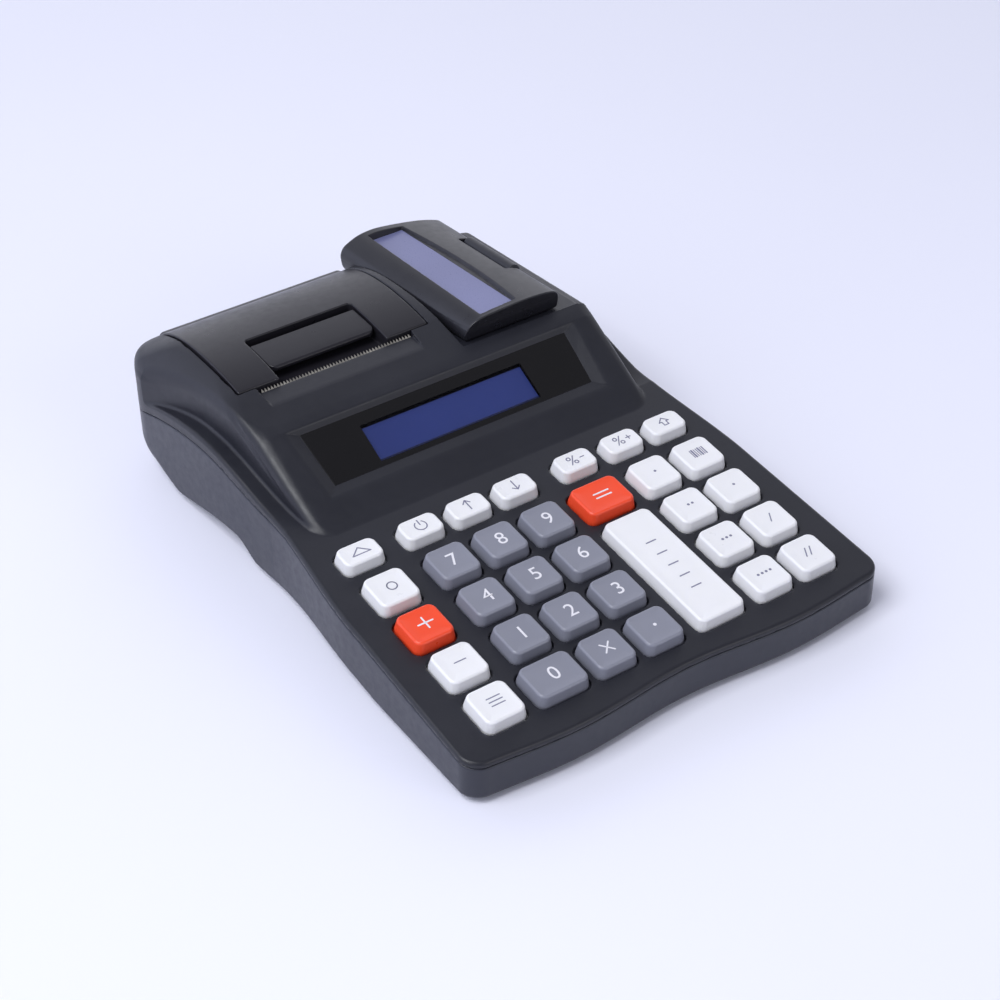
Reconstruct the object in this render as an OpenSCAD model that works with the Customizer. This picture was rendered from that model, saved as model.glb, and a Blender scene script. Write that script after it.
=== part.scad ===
// Desktop ticket register: a keyboard deck, an operator display, a drop-in
// receipt printer and a flip-up customer display on one two-piece case.
// X runs to the operator's right, Y to the rear, Z up. The origin is on the
// table, under the middle of the case.

/* [Case] */
// Overall depth of the case, front to rear
case_depth = 230; // [230:1:234]
// Half width of the case at its front corners
half_front = 83.3; // [82:0.1:84]
// Half width at the waist, beside the operator display
half_waist = 77.1; // [76.5:0.1:78]
// Half width at the rear
half_rear = 81.2; // [80:0.1:82]
// Wall thickness of the mouldings
wall = 2.4; // [2.2:0.1:2.6]
// Slope of the keyboard deck, in degrees
tilt = 6.6; // [6:0.1:7]
// Height of the deck at the row of the digit 7 key
deck_z = 25.4; // [25.2:0.1:26]

/* [Keys] */
// Height of the key tops over the deck
key_rise = 3.9; // [3:0.1:4.5]
// Travel of a key
key_travel = 2.5; // [1.5:0.1:2.5]
// Gap between a key and the edge of its hole
key_gap = 0.55; // [0.4:0.05:0.6]

/* [Printer] */
// Diameter of a new paper roll
roll_d = 42; // [30:1:42]
// Width of the paper
paper_w = 57.5; // [57:0.1:58]
// Diameter of the platen's rubber
platen_d = 9; // [8.6:0.1:9]
// Teeth of the tear bar
tear_teeth = 49; // [40:1:52]

/* [Customer display] */
// Slope of the flip-up display towards the rear, in degrees
pod_tilt = 4; // [3.9:0.1:4.1]
// Radius of its hinge knuckle
knuckle_r = 2.9; // [2.6:0.1:3]

/* [Hidden] */

$fn = 48;
e = 0.01;
yf = -115;                 // front of the case
yr = yf + case_depth;      // rear of the case
deck_y = -38.5;            // where the deck is deck_z high
shell_dark = [0.20, 0.21, 0.25];
shell_black = [0.15, 0.15, 0.17];
key_white = [0.93, 0.93, 0.94];
key_grey = [0.52, 0.53, 0.58];
key_orange = [0.95, 0.33, 0.19];

// smooth step and its use between two stations
function ss(t) = let (u = max(0, min(1, t))) u*u*(3 - 2*u);
function ease(y, y0, z0, y1, z1) = z0 + (z1 - z0)*ss((y - y0)/(y1 - y0));

// ---- lines of the case -------------------------------------------------
// keyboard deck
function deck(y) = deck_z + (y - deck_y)*tan(tilt);
// rim and side ledge: on the deck in front, a wave beside the hood
function rim(y) = y < 4 ? deck(y) : y < 56 ? ease(y, 4, deck(4), 56, 38.2) : 38.2 - 5.5*pow((y - 56)/38, 2);
// seam between the two halves of the case
function seam(y) = rim(min(y, 102)) - 2.3 - 2.1*ss(y/40) - 0.10*max(0, y - 102);
// half width of the case, waisted beside the display
function half(y) = y < -45 ? half_front + (y - yf)*(81.8 - half_front)/(-45 - yf)
  : y < 14 ? ease(y, -45, 81.8, 14, half_waist) : half_waist + (half_rear - half_waist)*(y - 14)/(yr - 14);
// front edge, two shallow lobes
function front(x) = yf + 1.4 + 1.4*cos(360*x/88);
// half width of the hood over the ledge, flush with the case at the rear
function hood_half(y) = y < 58 ? 69.6 + 3*(y - 2)/56
  : y < 97 ? 72.6 + (half(97) - 72.6)*pow((y - 58)/39, 1.8) : half(y);
// lower edge of the side walls: a low arch in front, a higher one behind
function skirt(y) = y < -60 || y > 92 ? 2 : y < 18 ? 2 + 3*sin(180*(y + 60)/78)
  : y < 24 ? 2 : y < 38 ? 2 + 5.6*ss((y - 24)/14) : 7.6 - 5.6*ss((y - 40)/52);

rf = 7; rr = 16;           // corner radii in plan, front and rear
cxf = half(yf + rf) - rf; cxr = half(yr - rr) - rr;

// plan outline of the case, inset by d
function side_pts(d) = concat(
  [for (a = [-75:15:-15]) [cxf + (rf - d)*cos(a), yf + 2.6 + rf + (rf - d)*sin(a)]],
  [for (y = [yf + 2.6 + rf:4.5:yr - rr]) [half(y) - d, y]],
  [for (a = [10:16:90]) [cxr + (rr - d)*cos(a), yr - rr + (rr - d)*sin(a)]]);
function mirrored(p) = [for (i = [len(p) - 1:-1:0]) [-p[i][0], p[i][1]]];
function outline(d) = concat([for (x = [-72:6:72]) [x, front(x) + d]], side_pts(d), mirrored(side_pts(d)));
// plan outline of the hood, inset by d
hx = 61.8; hr = 8; hy = -6.2;
function hood_side(d) = concat(
  [for (a = [-90:18:0]) [hx + (hr - d)*cos(a), hy + hr + (hr - d)*sin(a)]],
  [for (y = [6:6:96]) [hood_half(y) - d, y]], [[half(98) - d, 98]],
  [for (a = [10:16:90]) [cxr + (rr - d)*cos(a), yr - rr + (rr - d)*sin(a)]]);
function hood_plan(d) = concat(hood_side(d), mirrored(hood_side(d)));

// side view of the hood: display slope, gentle top, then a full round back
slope_a = 28.1;            // slope of the display panel
top_y = 30.3; top_z = 29.1 + (top_y - hy)*tan(slope_a);
cov_y = 53; cov_z = 54.2;  // front edge of the printer cover
function bez(t) = pow(1 - t, 3)*[cov_y, cov_z] + 3*t*pow(1 - t, 2)*[75, 58.5]
  + 3*t*t*(1 - t)*[yr - 2, 58] + t*t*t*[yr, 38];
hood_top = concat([[hy - 3, 29.1 - 3*tan(slope_a)], [top_y, top_z]], [for (t = [0:0.05:1.001]) bez(t)]);
hood_side_view = concat(hood_top, [[yr, 20], [hy - 3, 20]]);
// cross-sections that round the hood's shoulders: half outlines, x and height
shoulder = [[90, 10], [90, 40], [80, 44], [77.5, 47], [74.6, 49.6], [71.6, 51.9], [68, 53.9], [64, 55.2], [56, 56], [40, 57]];
brow = [[120, -60], [95, -16], [74, -7], [71.2, -3.8], [69.8, -2], [67.8, -0.7], [65.5, 0.1], [60, 0.4]];

// extrude a (y, z) outline along X between x0 and x1
module along_x(x0, x1, pts) translate([x0, 0, 0]) rotate([90, 0, 90]) linear_extrude(x1 - x0) polygon(pts);
module box(a, b) translate(a) cube(b - a);
// cylinder along X between x0 and x1, at (y, z)
module rod_x(x0, x1, y, z, r) translate([x0, y, z]) rotate([0, 90, 0]) cylinder(r = r, h = x1 - x0);

// a frame on the deck: x to the right, y up the slope from the digit 7 row, z off the deck
module on_deck() translate([0, deck_y, deck_z]) rotate([tilt, 0, 0]) children();
// a frame on the display slope, y up the slope from its foot
module on_panel() translate([0, hy, 29.1]) rotate([slope_a, 0, 0]) children();
// the frame of the customer display, on its hinge axis
pod_x = 57.4; pod_y = 78; pod_z = 52.9;
module on_pod() translate([pod_x, pod_y, pod_z]) rotate([-pod_tilt, 0, 0]) children();

// ---- keyboard ----------------------------------------------------------
// every key: [x, y, width, depth] on the deck
c0 = -63; c1 = -39.4; c2 = -20.4; c3 = -1.4; c4 = 21.4; c5 = 44; c6 = 63;
r0 = 19; r1 = 0; r2 = -19.4; r3 = -38.8; r4 = -58.2;
KW = 14.5; KD = 14.6; KWW = 18.5; KS = 9.4;
KEYS = [[c0, r0, KW, KS], [c1, r0, KW, KS], [c2, r0, KW, KS], [c3, r0, KW, KS], [24, r0, KW, KS], [c5, r0, KW, KS], [c6, r0, KW, KS],
  [c0, r1, KW, KD], [c1, r1, KW, KD], [c2, r1, KW, KD], [c3, r1, KW, KD], [c4, r1, KWW, KD], [c5, r1, KW, KD], [c6, r1, KW, KD],
  [c0, r2, KW, KD], [c1, r2, KW, KD], [c2, r2, KW, KD], [c3, r2, KW, KD], [c4, r3, KWW, 53.4], [c5, r2, KW, KD], [c6, r2, KW, KD],
  [c0, r3, KW, KD], [c1, r3, KW, KD], [c2, r3, KW, KD], [c3, r3, KW, KD], [c5, r3, KW, KD], [c6, r3, KW, KD],
  [c0, r4, KW, KD], [-41.1, r4, KWW, KD], [c2, r4, KW, KD], [c3, r4, KW, KD], [c5, r4, KW, KD], [c6, r4, KW, KD]];
draft = 0.5;               // the key is this much wider at the deck, each side
deck_t = 2.2;              // thickness of the deck
stem_r = 2.5;
mat_top = -8; mat_t = 1.2; board_t = 1.6;

module rsquare(w, d, r) for (x = [-1, 1], y = [-1, 1]) translate([x*(w/2 - r), y*(d/2 - r)]) circle(r, $fn = 24);
module slab(w, d, r, z) translate([0, 0, z]) linear_extrude(e) rsquare(w, d, r);
// one key: crowned cap with a drafted skirt, a retaining flange and a stem
module keycap(i) {
  k = KEYS[i]; w = k[2]; d = k[3];
  on_deck() translate([k[0], k[1], 0]) {
    difference() {
      union() {
        hull() {
          slab(w + 2*draft, d + 2*draft, 2.9, -3.5);
          slab(w + 2*draft, d + 2*draft, 2.9, 0);
          slab(w, d, 2.7, key_rise - 1);
          slab(w - 1.4, d - 1.4, 2.1, key_rise - e);
        }
        box([-w/2 - 1.75, -d/2 - 1.7, -3.5], [w/2 + 1.75, d/2 + 1.7, -2.35]);
      }
      box([-w/2 + 1.2, -d/2 + 1.2, -4], [w/2 - 1.2, d/2 - 1.2, key_rise - 1.6]);
    }
    translate([0, 0, -5.3]) cylinder(r = stem_r, h = key_rise + 5.3 - 1.5);
  }
}

// ---- case --------------------------------------------------------------
// bosses and screws: [x, y, height of the split, top of the screw]
SCREWS = [[-76.2, -99, 8, 15.6], [76.2, -99, 8, 15.6], [-71.5, 99.5, 18, 30], [71.5, 99.5, 18, 30]];
FEET = [[-64, -98], [64, -98], [-58, 97], [58, 97]];
cov_x0 = -65; cov_x1 = 12; // printer cover
shelf_d = 6.3;             // depth of the customer display's shelf under its hinge axis
hinge_y = yr - 5; hinge_z = 44.8; // axis of the printer cover
roll_y = 86; roll_z = 26.3; trough_z = 27.5; trough_r = 22.5;

module plan(d, z0, z1) translate([0, 0, z0]) linear_extrude(z1 - z0) polygon(outline(d));
module lower_case() color(shell_dark) {
  ys = [for (y = [yf:5:yr]) y];
  difference() {
    union() {
      difference() {
        intersection() {
          plan(0, 0, 50);
          along_x(-90, 90, concat([for (y = ys) [y, seam(y) - 0.05]],
            [for (a = [0:-15:-90]) [yr - 13 + 13*cos(a), 15 + 13*sin(a)]], [[yf + 1.5, 2], [yf, 3.5]]));
        }
        // inside, with solid sills over the arches
        difference() {
          plan(2.5, 4.5, 60);
          for (s = [-1, 1]) {
            box([s > 0 ? 71.5 : -90, 18, 0], [s > 0 ? 90 : -71.5, 96, 10.5]);
            box([s > 0 ? 74 : -90, -64, 0], [s > 0 ? 90 : -74, 18, 7.6]);
          }
          // thick bottom corner at the rear
          along_x(-90, 90, concat([[yr - 15.4, 0], [yr - 15.4, 4.5]], [for (a = [-90:15:0]) [yr - 13 + 10.5*cos(a), 15 + 10.5*sin(a)]], [[yr + 5, 15], [yr + 5, 0]]));
        }
        // arches in the side walls
        for (s = [-1, 1]) along_x(s > 0 ? 74 : -90, s > 0 ? 90 : -74,
          concat([for (y = [-62:3:96]) [y, skirt(y)]], [[96, 0], [-62, 0]]));
        // sockets in the rear wall
        box([21.7, yr - 14, 8.7], [34.3, yr + 1, 20.3]);
        box([38.7, yr - 14, 8.7], [51.3, yr + 1, 20.3]);
        translate([60, yr - 14, 14.5]) rotate([-90, 0, 0]) cylinder(r = 4, h = 20);
        translate([60, yr - 1, 14.5]) rotate([-90, 0, 0]) cylinder(r = 5, h = 20);
      }
      // screw bosses
      for (s = SCREWS) translate([s[0], s[1], 4]) cylinder(r = 3.6, h = s[2] - 4.05);
      // paper trough and its side plates
      difference() {
        rod_x(-58, 5, roll_y, trough_z, trough_r + 1.8);
        rod_x(-59, 6, roll_y, trough_z, trough_r);
        box([-60, roll_y - 30, trough_z], [7, roll_y + 30, 60]);
        box([-60, roll_y - 30, 0], [7, roll_y + 30, 4]);
      }
      for (x = [-60, 5]) difference() {
        box([x, roll_y - 24, 4.4], [x + 2, roll_y + 22, 36]);
        for (s = [-1, 1]) translate([x - 1, roll_y + s*30, 36]) rotate([45, 0, 0]) cube([4, 14, 14], center = false);
      }
      for (x = [-40, -15]) difference() {
        box([x, roll_y - 20, 4.4], [x + 2, roll_y + 18, 14]);
        rod_x(x - 1, x + 3, roll_y, trough_z, trough_r + 0.5);
      }
      // posts under the printer frame and the circuit board
      for (x = [-50, -6]) box([x, 44, 4.4], [x + 4, 54, 13.95]);
      for (x = [-68, 64]) box([x, -34, 4.4], [x + 4, -30, 14.7]);
      for (x = [-68, 64]) box([x, -86, 4.4], [x + 4, -82, 8.7]);
    }
    for (s = SCREWS) translate([s[0], s[1], 0]) { cylinder(r = 1.7, h = 40); cylinder(r = 3.1, h = 5.5); }
    for (f = FEET) translate([f[0], f[1], 0]) cylinder(r = 6.1, h = 3.5);
    // seats round the panel sockets
    box([21.7, yr - 14, 8.7], [34.3, yr + 1, 20.3]);
    box([38.7, yr - 14, 8.7], [51.3, yr + 1, 20.3]);
  }
}

// everything over the sloping shelf of the customer display, which is open on
// the right and at the rear; moved out by d, and down by d
function bay_x(y) = 17.4 - (y - 38)*0.043;
module pod_bay(d) intersection() {
  on_pod() translate([-60, -60, -shelf_d - d]) cube([160, 200, 60]);
  translate([0, 0, 20]) linear_extrude(70) polygon([[bay_x(37.4) - 1.1*d, 37.4 - d], [110, 37.4 - d], [110, 150], [bay_x(150) - 1.1*d, 150]]);
}
// rounded edge of that shelf
module shelf_edge() on_pod() translate([0, 90, 0]) rotate([90, 0, 0]) linear_extrude(130.6)
  polygon([[10.4, -shelf_d], [12.4, -shelf_d - 0.5], [13.9, -shelf_d - 1.7], [15.2, -shelf_d - 3.7], [19.6, -shelf_d - 8], [40, -shelf_d - 8], [40, 20], [10.4, 20]]);
module upper_case() color(shell_black) difference() {
  union() {
    difference() {
      union() {
        intersection() {
          plan(0, 0, 60);
          along_x(-90, 90, concat([for (y = [yf:5:yr]) [y, rim(min(y, 98))]], [for (y = [yr:-5:yf]) [y, seam(y) + 0.05]]));
        }
        intersection() {
          translate([0, 0, 15]) linear_extrude(50) polygon(hood_plan(0));
          along_x(-90, 90, hood_side_view);
          along_x(-90, 90, concat([for (y = [yf:5:yr]) [y, 80]], [for (y = [yr:-5:yf]) [y, seam(y) + 0.05]]));
          // shoulders, rounded along the top and along the display slope
          translate([0, yr + 5, 0]) rotate([90, 0, 0]) linear_extrude(200) polygon(concat(shoulder, mirrored(shoulder)));
          on_panel() translate([0, 200, 0]) rotate([90, 0, 0]) linear_extrude(260) polygon(concat(brow, mirrored(brow)));
        }
      }
      // inside of the deck and the rim
      intersection() {
        plan(wall, 0, 60);
        along_x(-90, 90, concat([for (y = [yf:5:yr]) [y, rim(min(y, 98)) - deck_t]], [[yr, 0], [yf, 0]]));
      }
      // inside of the hood, left of the customer display and under its bay
      difference() {
        intersection() {
          translate([0, 0, 10]) linear_extrude(60) polygon(hood_plan(wall));
          along_x(-90, 90, concat([for (p = hood_top) [p[0] < 0 ? p[0] + 5 : p[0], p[1] - 2.7]], [[yr, 10], [hy + 2, 10]]));
          translate([0, yr + 5, 0]) rotate([90, 0, 0]) linear_extrude(200) polygon([for (p = concat(shoulder, mirrored(shoulder))) p[1] > 12 ? [p[0]*0.975, p[1] - 2.2] : p]);
          on_panel() translate([0, 200, -2.6]) rotate([90, 0, 0]) linear_extrude(260) polygon([for (p = concat(brow, mirrored(brow))) [p[0]*0.97, p[1]]]);
        }
        pod_bay(2.4);
        translate([-2.2, 0, -2.2]) shelf_edge();
        box([12.4, 50, 20], [17.4, 130, 70]);
      }
      pod_bay(0);
      shelf_edge();
    }
    // bar behind the tear edge, and ears for the cover's pin
    intersection() {
      box([-63, 42, 46.5], [10.5, 52.3, 60]);
      along_x(-90, 90, hood_side_view);
    }
    intersection() {
      union() { box([-71, yr - 14, 38], [cov_x0 - 0.4, yr, 60]); box([cov_x1 + 0.4, yr - 14, 38], [bay_x(yr), yr, 60]); }
      along_x(-90, 90, hood_side_view);
      translate([0, yr + 5, 0]) rotate([90, 0, 0]) linear_extrude(200) polygon(concat(shoulder, mirrored(shoulder)));
    }
    // fixed knuckle of the customer display
    on_pod() difference() {
      union() {
        rotate([-90, 0, 0]) translate([0, 0, -15]) cylinder(r = knuckle_r, h = 30);
        box([-2.4, -15, -shelf_d - 1], [2.4, 15, 0]);
      }
      translate([0, -16, 0]) rotate([-90, 0, 0]) cylinder(r = 1.3, h = 32);
    }
    // screw bosses
    for (s = SCREWS) translate([s[0], s[1], s[2]]) cylinder(r = 3.3, h = (s[1] < 0 ? deck(s[1]) - 1 : s[0] < 0 ? 48 : 38.5) - s[2]);
  }
  for (s = SCREWS) translate([s[0], s[1], s[2] - 1]) cylinder(r = 1.5, h = s[3] - s[2] + 1.3);
  // key holes
  on_deck() for (k = KEYS) translate([k[0], k[1], 0])
    cube([k[2] + 2*draft + 2*key_gap, k[3] + 2*draft + 2*key_gap, 20], center = true);
  // bevelled recess and window seat of the operator display
  on_panel() {
    hull() {
      translate([0, 0, 0.3]) linear_extrude(e) polygon([[-59.3, 11.5], [59.3, 11.5], [62.4, 41.5], [-62.4, 41.5]]);
      translate([0, 0, -1.8]) linear_extrude(e) polygon([[-55, 17.1], [55, 17.1], [55, 39.3], [-55, 39.3]]);
    }
    translate([-55, 17.1, -3.3]) cube([110, 22.2, 4]);
    translate([-44, 15, -12]) cube([88, 24.5, 10]);
  }
  // opening for the printer cover, down to the paper
  box([cov_x0 - 0.4, 52.3, 36], [cov_x1 + 0.4, yr - 8.6, 90]);
  box([cov_x0 - 0.4, 60, 40.9], [cov_x1 + 0.4, yr + 1, 90]);
  rod_x(cov_x0 - 0.4, cov_x1 + 0.4, hinge_y, hinge_z, 3.7);
  rod_x(-68.6, 13.6, hinge_y, hinge_z, 1.25);
  // seat of the tear bar
  along_x(-60, 7, [[43.5, 53.5], [43.5, 51.6], [45, 51.1], [53, 51.1], [53, 56], [43.5, 56]]);
}

// ---- operator display --------------------------------------------------
module display_window() color([0.06, 0.06, 0.08]) on_panel() translate([-54.8, 17.3, -3.25]) cube([109.6, 21.8, 1.45]);
module main_lcd() on_panel() {
  color([0.2, 0.25, 0.6]) translate([-36, 18.6, -5.6]) cube([71.5, 19.4, 2.2]);
  color([0.1, 0.3, 0.2]) translate([-42, 16, -7.2]) cube([84, 23, 1.6]);
}
module main_board() color([0.1, 0.32, 0.2]) on_deck() {
  translate([-72.2, -67, mat_top - mat_t - board_t]) cube([144.4, 92, board_t]);
  for (x = [-30, 10, 40]) translate([x, -30, mat_top - mat_t - board_t - 1.6]) cube([12, 12, 1.6]);
}
module key_mat() color([0.75, 0.75, 0.72]) on_deck() difference() {
  union() {
    translate([-72, -66.5, mat_top - mat_t]) cube([144, 91, mat_t]);
    for (k = KEYS) translate([k[0], k[1], mat_top - 0.5]) cylinder(r = 4, h = 2.2);
  }
  for (k = KEYS) translate([k[0], k[1], mat_top - 0.2]) cylinder(r = 2.9, h = 4);
}

// ---- printer -----------------------------------------------------------
pl_y = 57.5; pl_z = 43.5;  // platen axis
MOD = 0.5; NP = 18; NI = 26; NM = 10;
ang_i = 222.5; ang_m = -90;
id_y = pl_y + MOD*(NP + NI)/2*cos(ang_i); id_z = pl_z + MOD*(NP + NI)/2*sin(ang_i);
mo_y = id_y + MOD*(NI + NM)/2*cos(ang_m); mo_z = id_z + MOD*(NI + NM)/2*sin(ang_m);
// turn of gear B in mesh with gear A along direction phi
function mesh(phi, tha, na, nb) = phi + 180 - (0.5 - (phi - tha)*na/360)*360/nb;
th_p = ang_i; th_i = mesh(ang_i, th_p, NP, NI); th_m = mesh(ang_m, th_i, NI, NM);
// toothed outline: straight-flanked teeth with backlash
function gear_pts(n) = let (rp = MOD*n/2, ro = rp + 0.85*MOD, ri = rp - 1.15*MOD, p = 360/n)
  [for (i = [0:n - 1]) each [for (q = [[-0.34, ri], [-0.12, ro], [0.12, ro], [0.34, ri]]) q[1]*[cos((i + q[0])*p), sin((i + q[0])*p)]]];
module gear(n, th, y, z, bore) translate([-62.4, y, z]) rotate([90, 0, 90]) difference() {
  rotate(th) linear_extrude(3) polygon(gear_pts(n));
  translate([0, 0, -1]) cylinder(r = bore, h = 5);
}
// the recess in the cover: x, and rear end
rx0 = -48.8; rx1 = -5.2; ry = 77; rz = 49.5;
lev_y = 71.5; lev_z = 53.2; // lever pivot

module printer_cover() color(shell_black) difference() {
  union() {
    difference() {
      union() {
        // curved top
        intersection() {
          along_x(cov_x0, cov_x1, concat(hood_top, [[yr, 36], [cov_y, 36]]));
          box([cov_x0, cov_y, 40], [cov_x1, hinge_y + 0.5, 70]);
        }
        rod_x(cov_x0, cov_x1, hinge_y, hinge_z, 3.3);
      }
      // hollow under it
      along_x(cov_x0 + 2.2, cov_x1 - 2.2, concat([[cov_y + 1.8, 30], [cov_y + 1.8, cov_z - 1.8]],
        [for (t = [0.05:0.05:0.8]) bez(t) - [0, 2.2]], [[hinge_y - 3.9, 48], [hinge_y - 3.9, 30]]));
      // clear of the rear wall when it swings
      difference() {
        box([cov_x0 - 1, hinge_y - 4, 30], [cov_x1 + 1, yr + 3, hinge_z]);
        rod_x(cov_x0 - 2, cov_x1 + 2, hinge_y, hinge_z, 3.3);
      }
      box([cov_x0 - 1, cov_y - 1, 30], [cov_x1 + 1, 66, 48.7]);
      box([cov_x0 - 1, 60, 30], [cov_x1 + 1, hinge_y, 43]);
    }
    // box of the finger recess
    intersection() {
      box([rx0 - 1.6, cov_y, rz - 1.2], [rx1 + 1.6, ry + 1.6, 70]);
      along_x(cov_x0, cov_x1, concat(hood_top, [[yr, 36], [cov_y, 36]]));
    }
    // hangers of the platen
    for (x = [-59.1, 4.3]) box([x, cov_y + 0.4, 40.5], [x + 1.8, 64, 53.3]);
  }
  along_x(rx0, rx1, [[cov_y - 2, rz + 0.4], [cov_y + 2, rz], [ry - 2, rz], [ry, rz + 2], [ry, 70], [cov_y - 2, 70]]);
  rod_x(rx0 - 1.15, rx1 + 1.15, lev_y, lev_z, 1.25);
  rod_x(-60, 7, pl_y, pl_z, 2.05);
  rod_x(cov_x0 - 1, cov_x1 + 1, hinge_y, hinge_z, 1.3);
}
module cover_hinge_pin() color("silver") rod_x(-68.5, 13.5, hinge_y, hinge_z, 1.25);
module release_lever() color([0.17, 0.17, 0.19]) {
  intersection() {
    along_x(rx0 + 0.5, rx1 - 0.5, [[58.5, 53.0], [59.2, 52.4], [62, 52.9], [69.6, 53.4], [70.2, 51.6], [72.8, 51.6], [73.8, 53], [73.8, 55.4],
      [70, 55.3], [66, 55.1], [62, 54.8], [59.4, 54.5], [58.5, 54.0]]);
    translate([0, 0, 50]) linear_extrude(10) union() {
      translate([rx0, 62]) square([rx1 - rx0, 20]);
      translate([rx0 + 4, 50]) square([rx1 - rx0 - 8, 14]);
      for (x = [rx0 + 4, rx1 - 4]) translate([x, 62]) circle(3.5);
    }
  }
  rod_x(rx0 - 1.1, rx1 + 1.1, lev_y, lev_z, 1.2);
}
module tear_bar() color([0.78, 0.77, 0.72]) {
  tw = 61/tear_teeth;
  translate([-26.5, 0, 51.15]) linear_extrude(0.8) polygon(concat([[-30.5, 45.1], [30.5, 45.1]],
    [for (i = [0:tear_teeth - 1]) each [[30.5 - i*tw, 50.6], [30.5 - (i + 0.5)*tw, 51.8]]], [[-30.5, 50.6]]));
}
module platen_roller() {
  color([0.08, 0.08, 0.08]) difference() { rod_x(-54.9, 1.9, pl_y, pl_z, platen_d/2); rod_x(-56, 3, pl_y, pl_z, 2); }
  color("silver") rod_x(-62.4, 8.6, pl_y, pl_z, 2);
}
module platen_gear() color([0.85, 0.85, 0.8]) gear(NP, th_p, pl_y, pl_z, 2);
module idler_gear() color([0.85, 0.85, 0.8]) gear(NI, th_i, id_y, id_z, 1.55);
module motor_pinion() {
  color([0.75, 0.65, 0.35]) gear(NM, th_m, mo_y, mo_z, 0.75);
  color("silver") rod_x(-62.4, -34, mo_y, mo_z, 0.75);
}
module feed_motor() color([0.6, 0.6, 0.62]) difference() {
  union() { rod_x(-55.6, -34, mo_y, mo_z, 7.5); rod_x(-57.1, -55.6, mo_y, mo_z, 2.5); }
  rod_x(-58, -33, mo_y, mo_z, 0.8);
}
module printer_frame() color([0.35, 0.36, 0.38]) {
  difference() {
    union() {
      for (x = [-57.1, 2.6]) {
        box([x, 42, 14], [x + 1.5, 57.5, 36]);
        box([x, 42, 36 - e], [x + 1.5, 52.9, 46.4]);
      }
      box([-57.1, 42, 14], [4.1, 57.5, 15.5]);
    }
    rod_x(-58, -55, mo_y, mo_z, 2.5);
    for (x = [-48, -4]) translate([x, 49, 13]) cylinder(r = 1.6, h = 4);
  }
  rod_x(-63, -57.1, id_y, id_z, 1.5);
}
module print_head() color([0.7, 0.7, 0.72]) {
  box([-55.5, 49.4, 36.2], [2.5, 51.8, 46.4]);
  box([-54, 51.8, 38], [1, 52.85, 46.4]);
}
module paper_roll() color([0.95, 0.95, 0.93]) difference() {
  rod_x(-26.5 - paper_w/2, -26.5 + paper_w/2, roll_y, roll_z, roll_d/2);
  rod_x(-60, 8, roll_y, roll_z, 6);
}

// ---- customer display --------------------------------------------------
pod_l0 = -40; pod_l1 = 38;     // ends along its axis
// sections at its front and rear end, a little wider on the left behind
pod_front = [[-36.8, -5.9], [-37.9, -4.8], [-37.6, -2.4], [-35.4, 1.3], [-32.5, 3.8], [-28, 4.9], [-21.3, 5.4], [-13.7, 5.3], [-7, 4.1],
  [-1.2, 2.4], [1.6, 0.2], [2.3, -2.3], [2.3, -5.3], [1.2, -5.9]];
pod_rear = [[-41, -5.9], [-42.2, -4.2], [-42.5, -1], [-41.5, 1.9], [-39, 4], [-33.6, 5], [-25.6, 5.7], [-14, 4.9], [-7, 3.4],
  [-1.2, 1.3], [0.6, -0.6], [1.4, -2.6], [1.4, -5.3], [0.4, -5.9]];
module pod_section(z0, z1) intersection() {
  hull() {
    translate([0, pod_l0 + e, 0]) rotate([90, 0, 0]) linear_extrude(e) polygon([for (p = pod_front) [p[0]*0.97 - 0.55, p[1]*0.94]]);
    translate([0, pod_l0 + 1.2, 0]) rotate([90, 0, 0]) linear_extrude(e) polygon(pod_front);
    translate([0, pod_l1 - 1.6, 0]) rotate([90, 0, 0]) linear_extrude(e) polygon(pod_rear);
    translate([0, pod_l1, 0]) rotate([90, 0, 0]) linear_extrude(e) polygon([for (p = pod_rear) [p[0]*0.96 - 0.8, p[1]*0.9]]);
  }
  translate([-60, -60, z0]) cube([80, 120, z1 - z0]);
}
module pod_notch() translate([-4, -15.4, -10]) cube([20, 30.8, 30]);
module customer_display_front() color(shell_black) on_pod() difference() {
  pod_section(0.05, 20);
  pod_notch();
  translate([-33.6, pod_l0 + 2, -1]) cube([27.6, pod_l1 - pod_l0 - 4, 1.6]);
  translate([-31.6, -37.9, 1.8]) cube([15.4, 73.8, 8]);
  translate([0, -40, 0]) rotate([-90, 0, 0]) linear_extrude(77) polygon([[-17, -3], [-16, -3], [-14, -8], [-17, -8]]);
  translate([-30.5, -36.8, 0]) cube([13.2, 71.6, 5]);
  translate([0, -24.2, 0]) rotate([-90, 0, 0]) cylinder(r = 1.25, h = 48.4);
}
module customer_display_back() color(shell_dark) on_pod() difference() {
  pod_section(-10, -0.05);
  pod_notch();
  translate([-33.6, pod_l0 + 2, -4.3]) cube([27.6, pod_l1 - pod_l0 - 4, 6]);
  translate([0, -24.2, 0]) rotate([-90, 0, 0]) cylinder(r = 1.25, h = 48.4);
}
module customer_display_window() color([0.45, 0.46, 0.62]) on_pod() translate([-31.5, -37.8, 1.85]) cube([15.2, 73.6, 1.15]);
module customer_lcd() color([0.1, 0.3, 0.2]) on_pod() {
  translate([-30.2, -36.4, 0]) cube([12.4, 70.8, 1.7]);
  translate([-33, -36, -1.6]) cube([26.4, 70, 1.6]);
}
module display_hinge_pin() color("silver") on_pod() translate([0, -24, 0]) rotate([-90, 0, 0]) cylinder(r = 1.25, h = 48);

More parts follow.
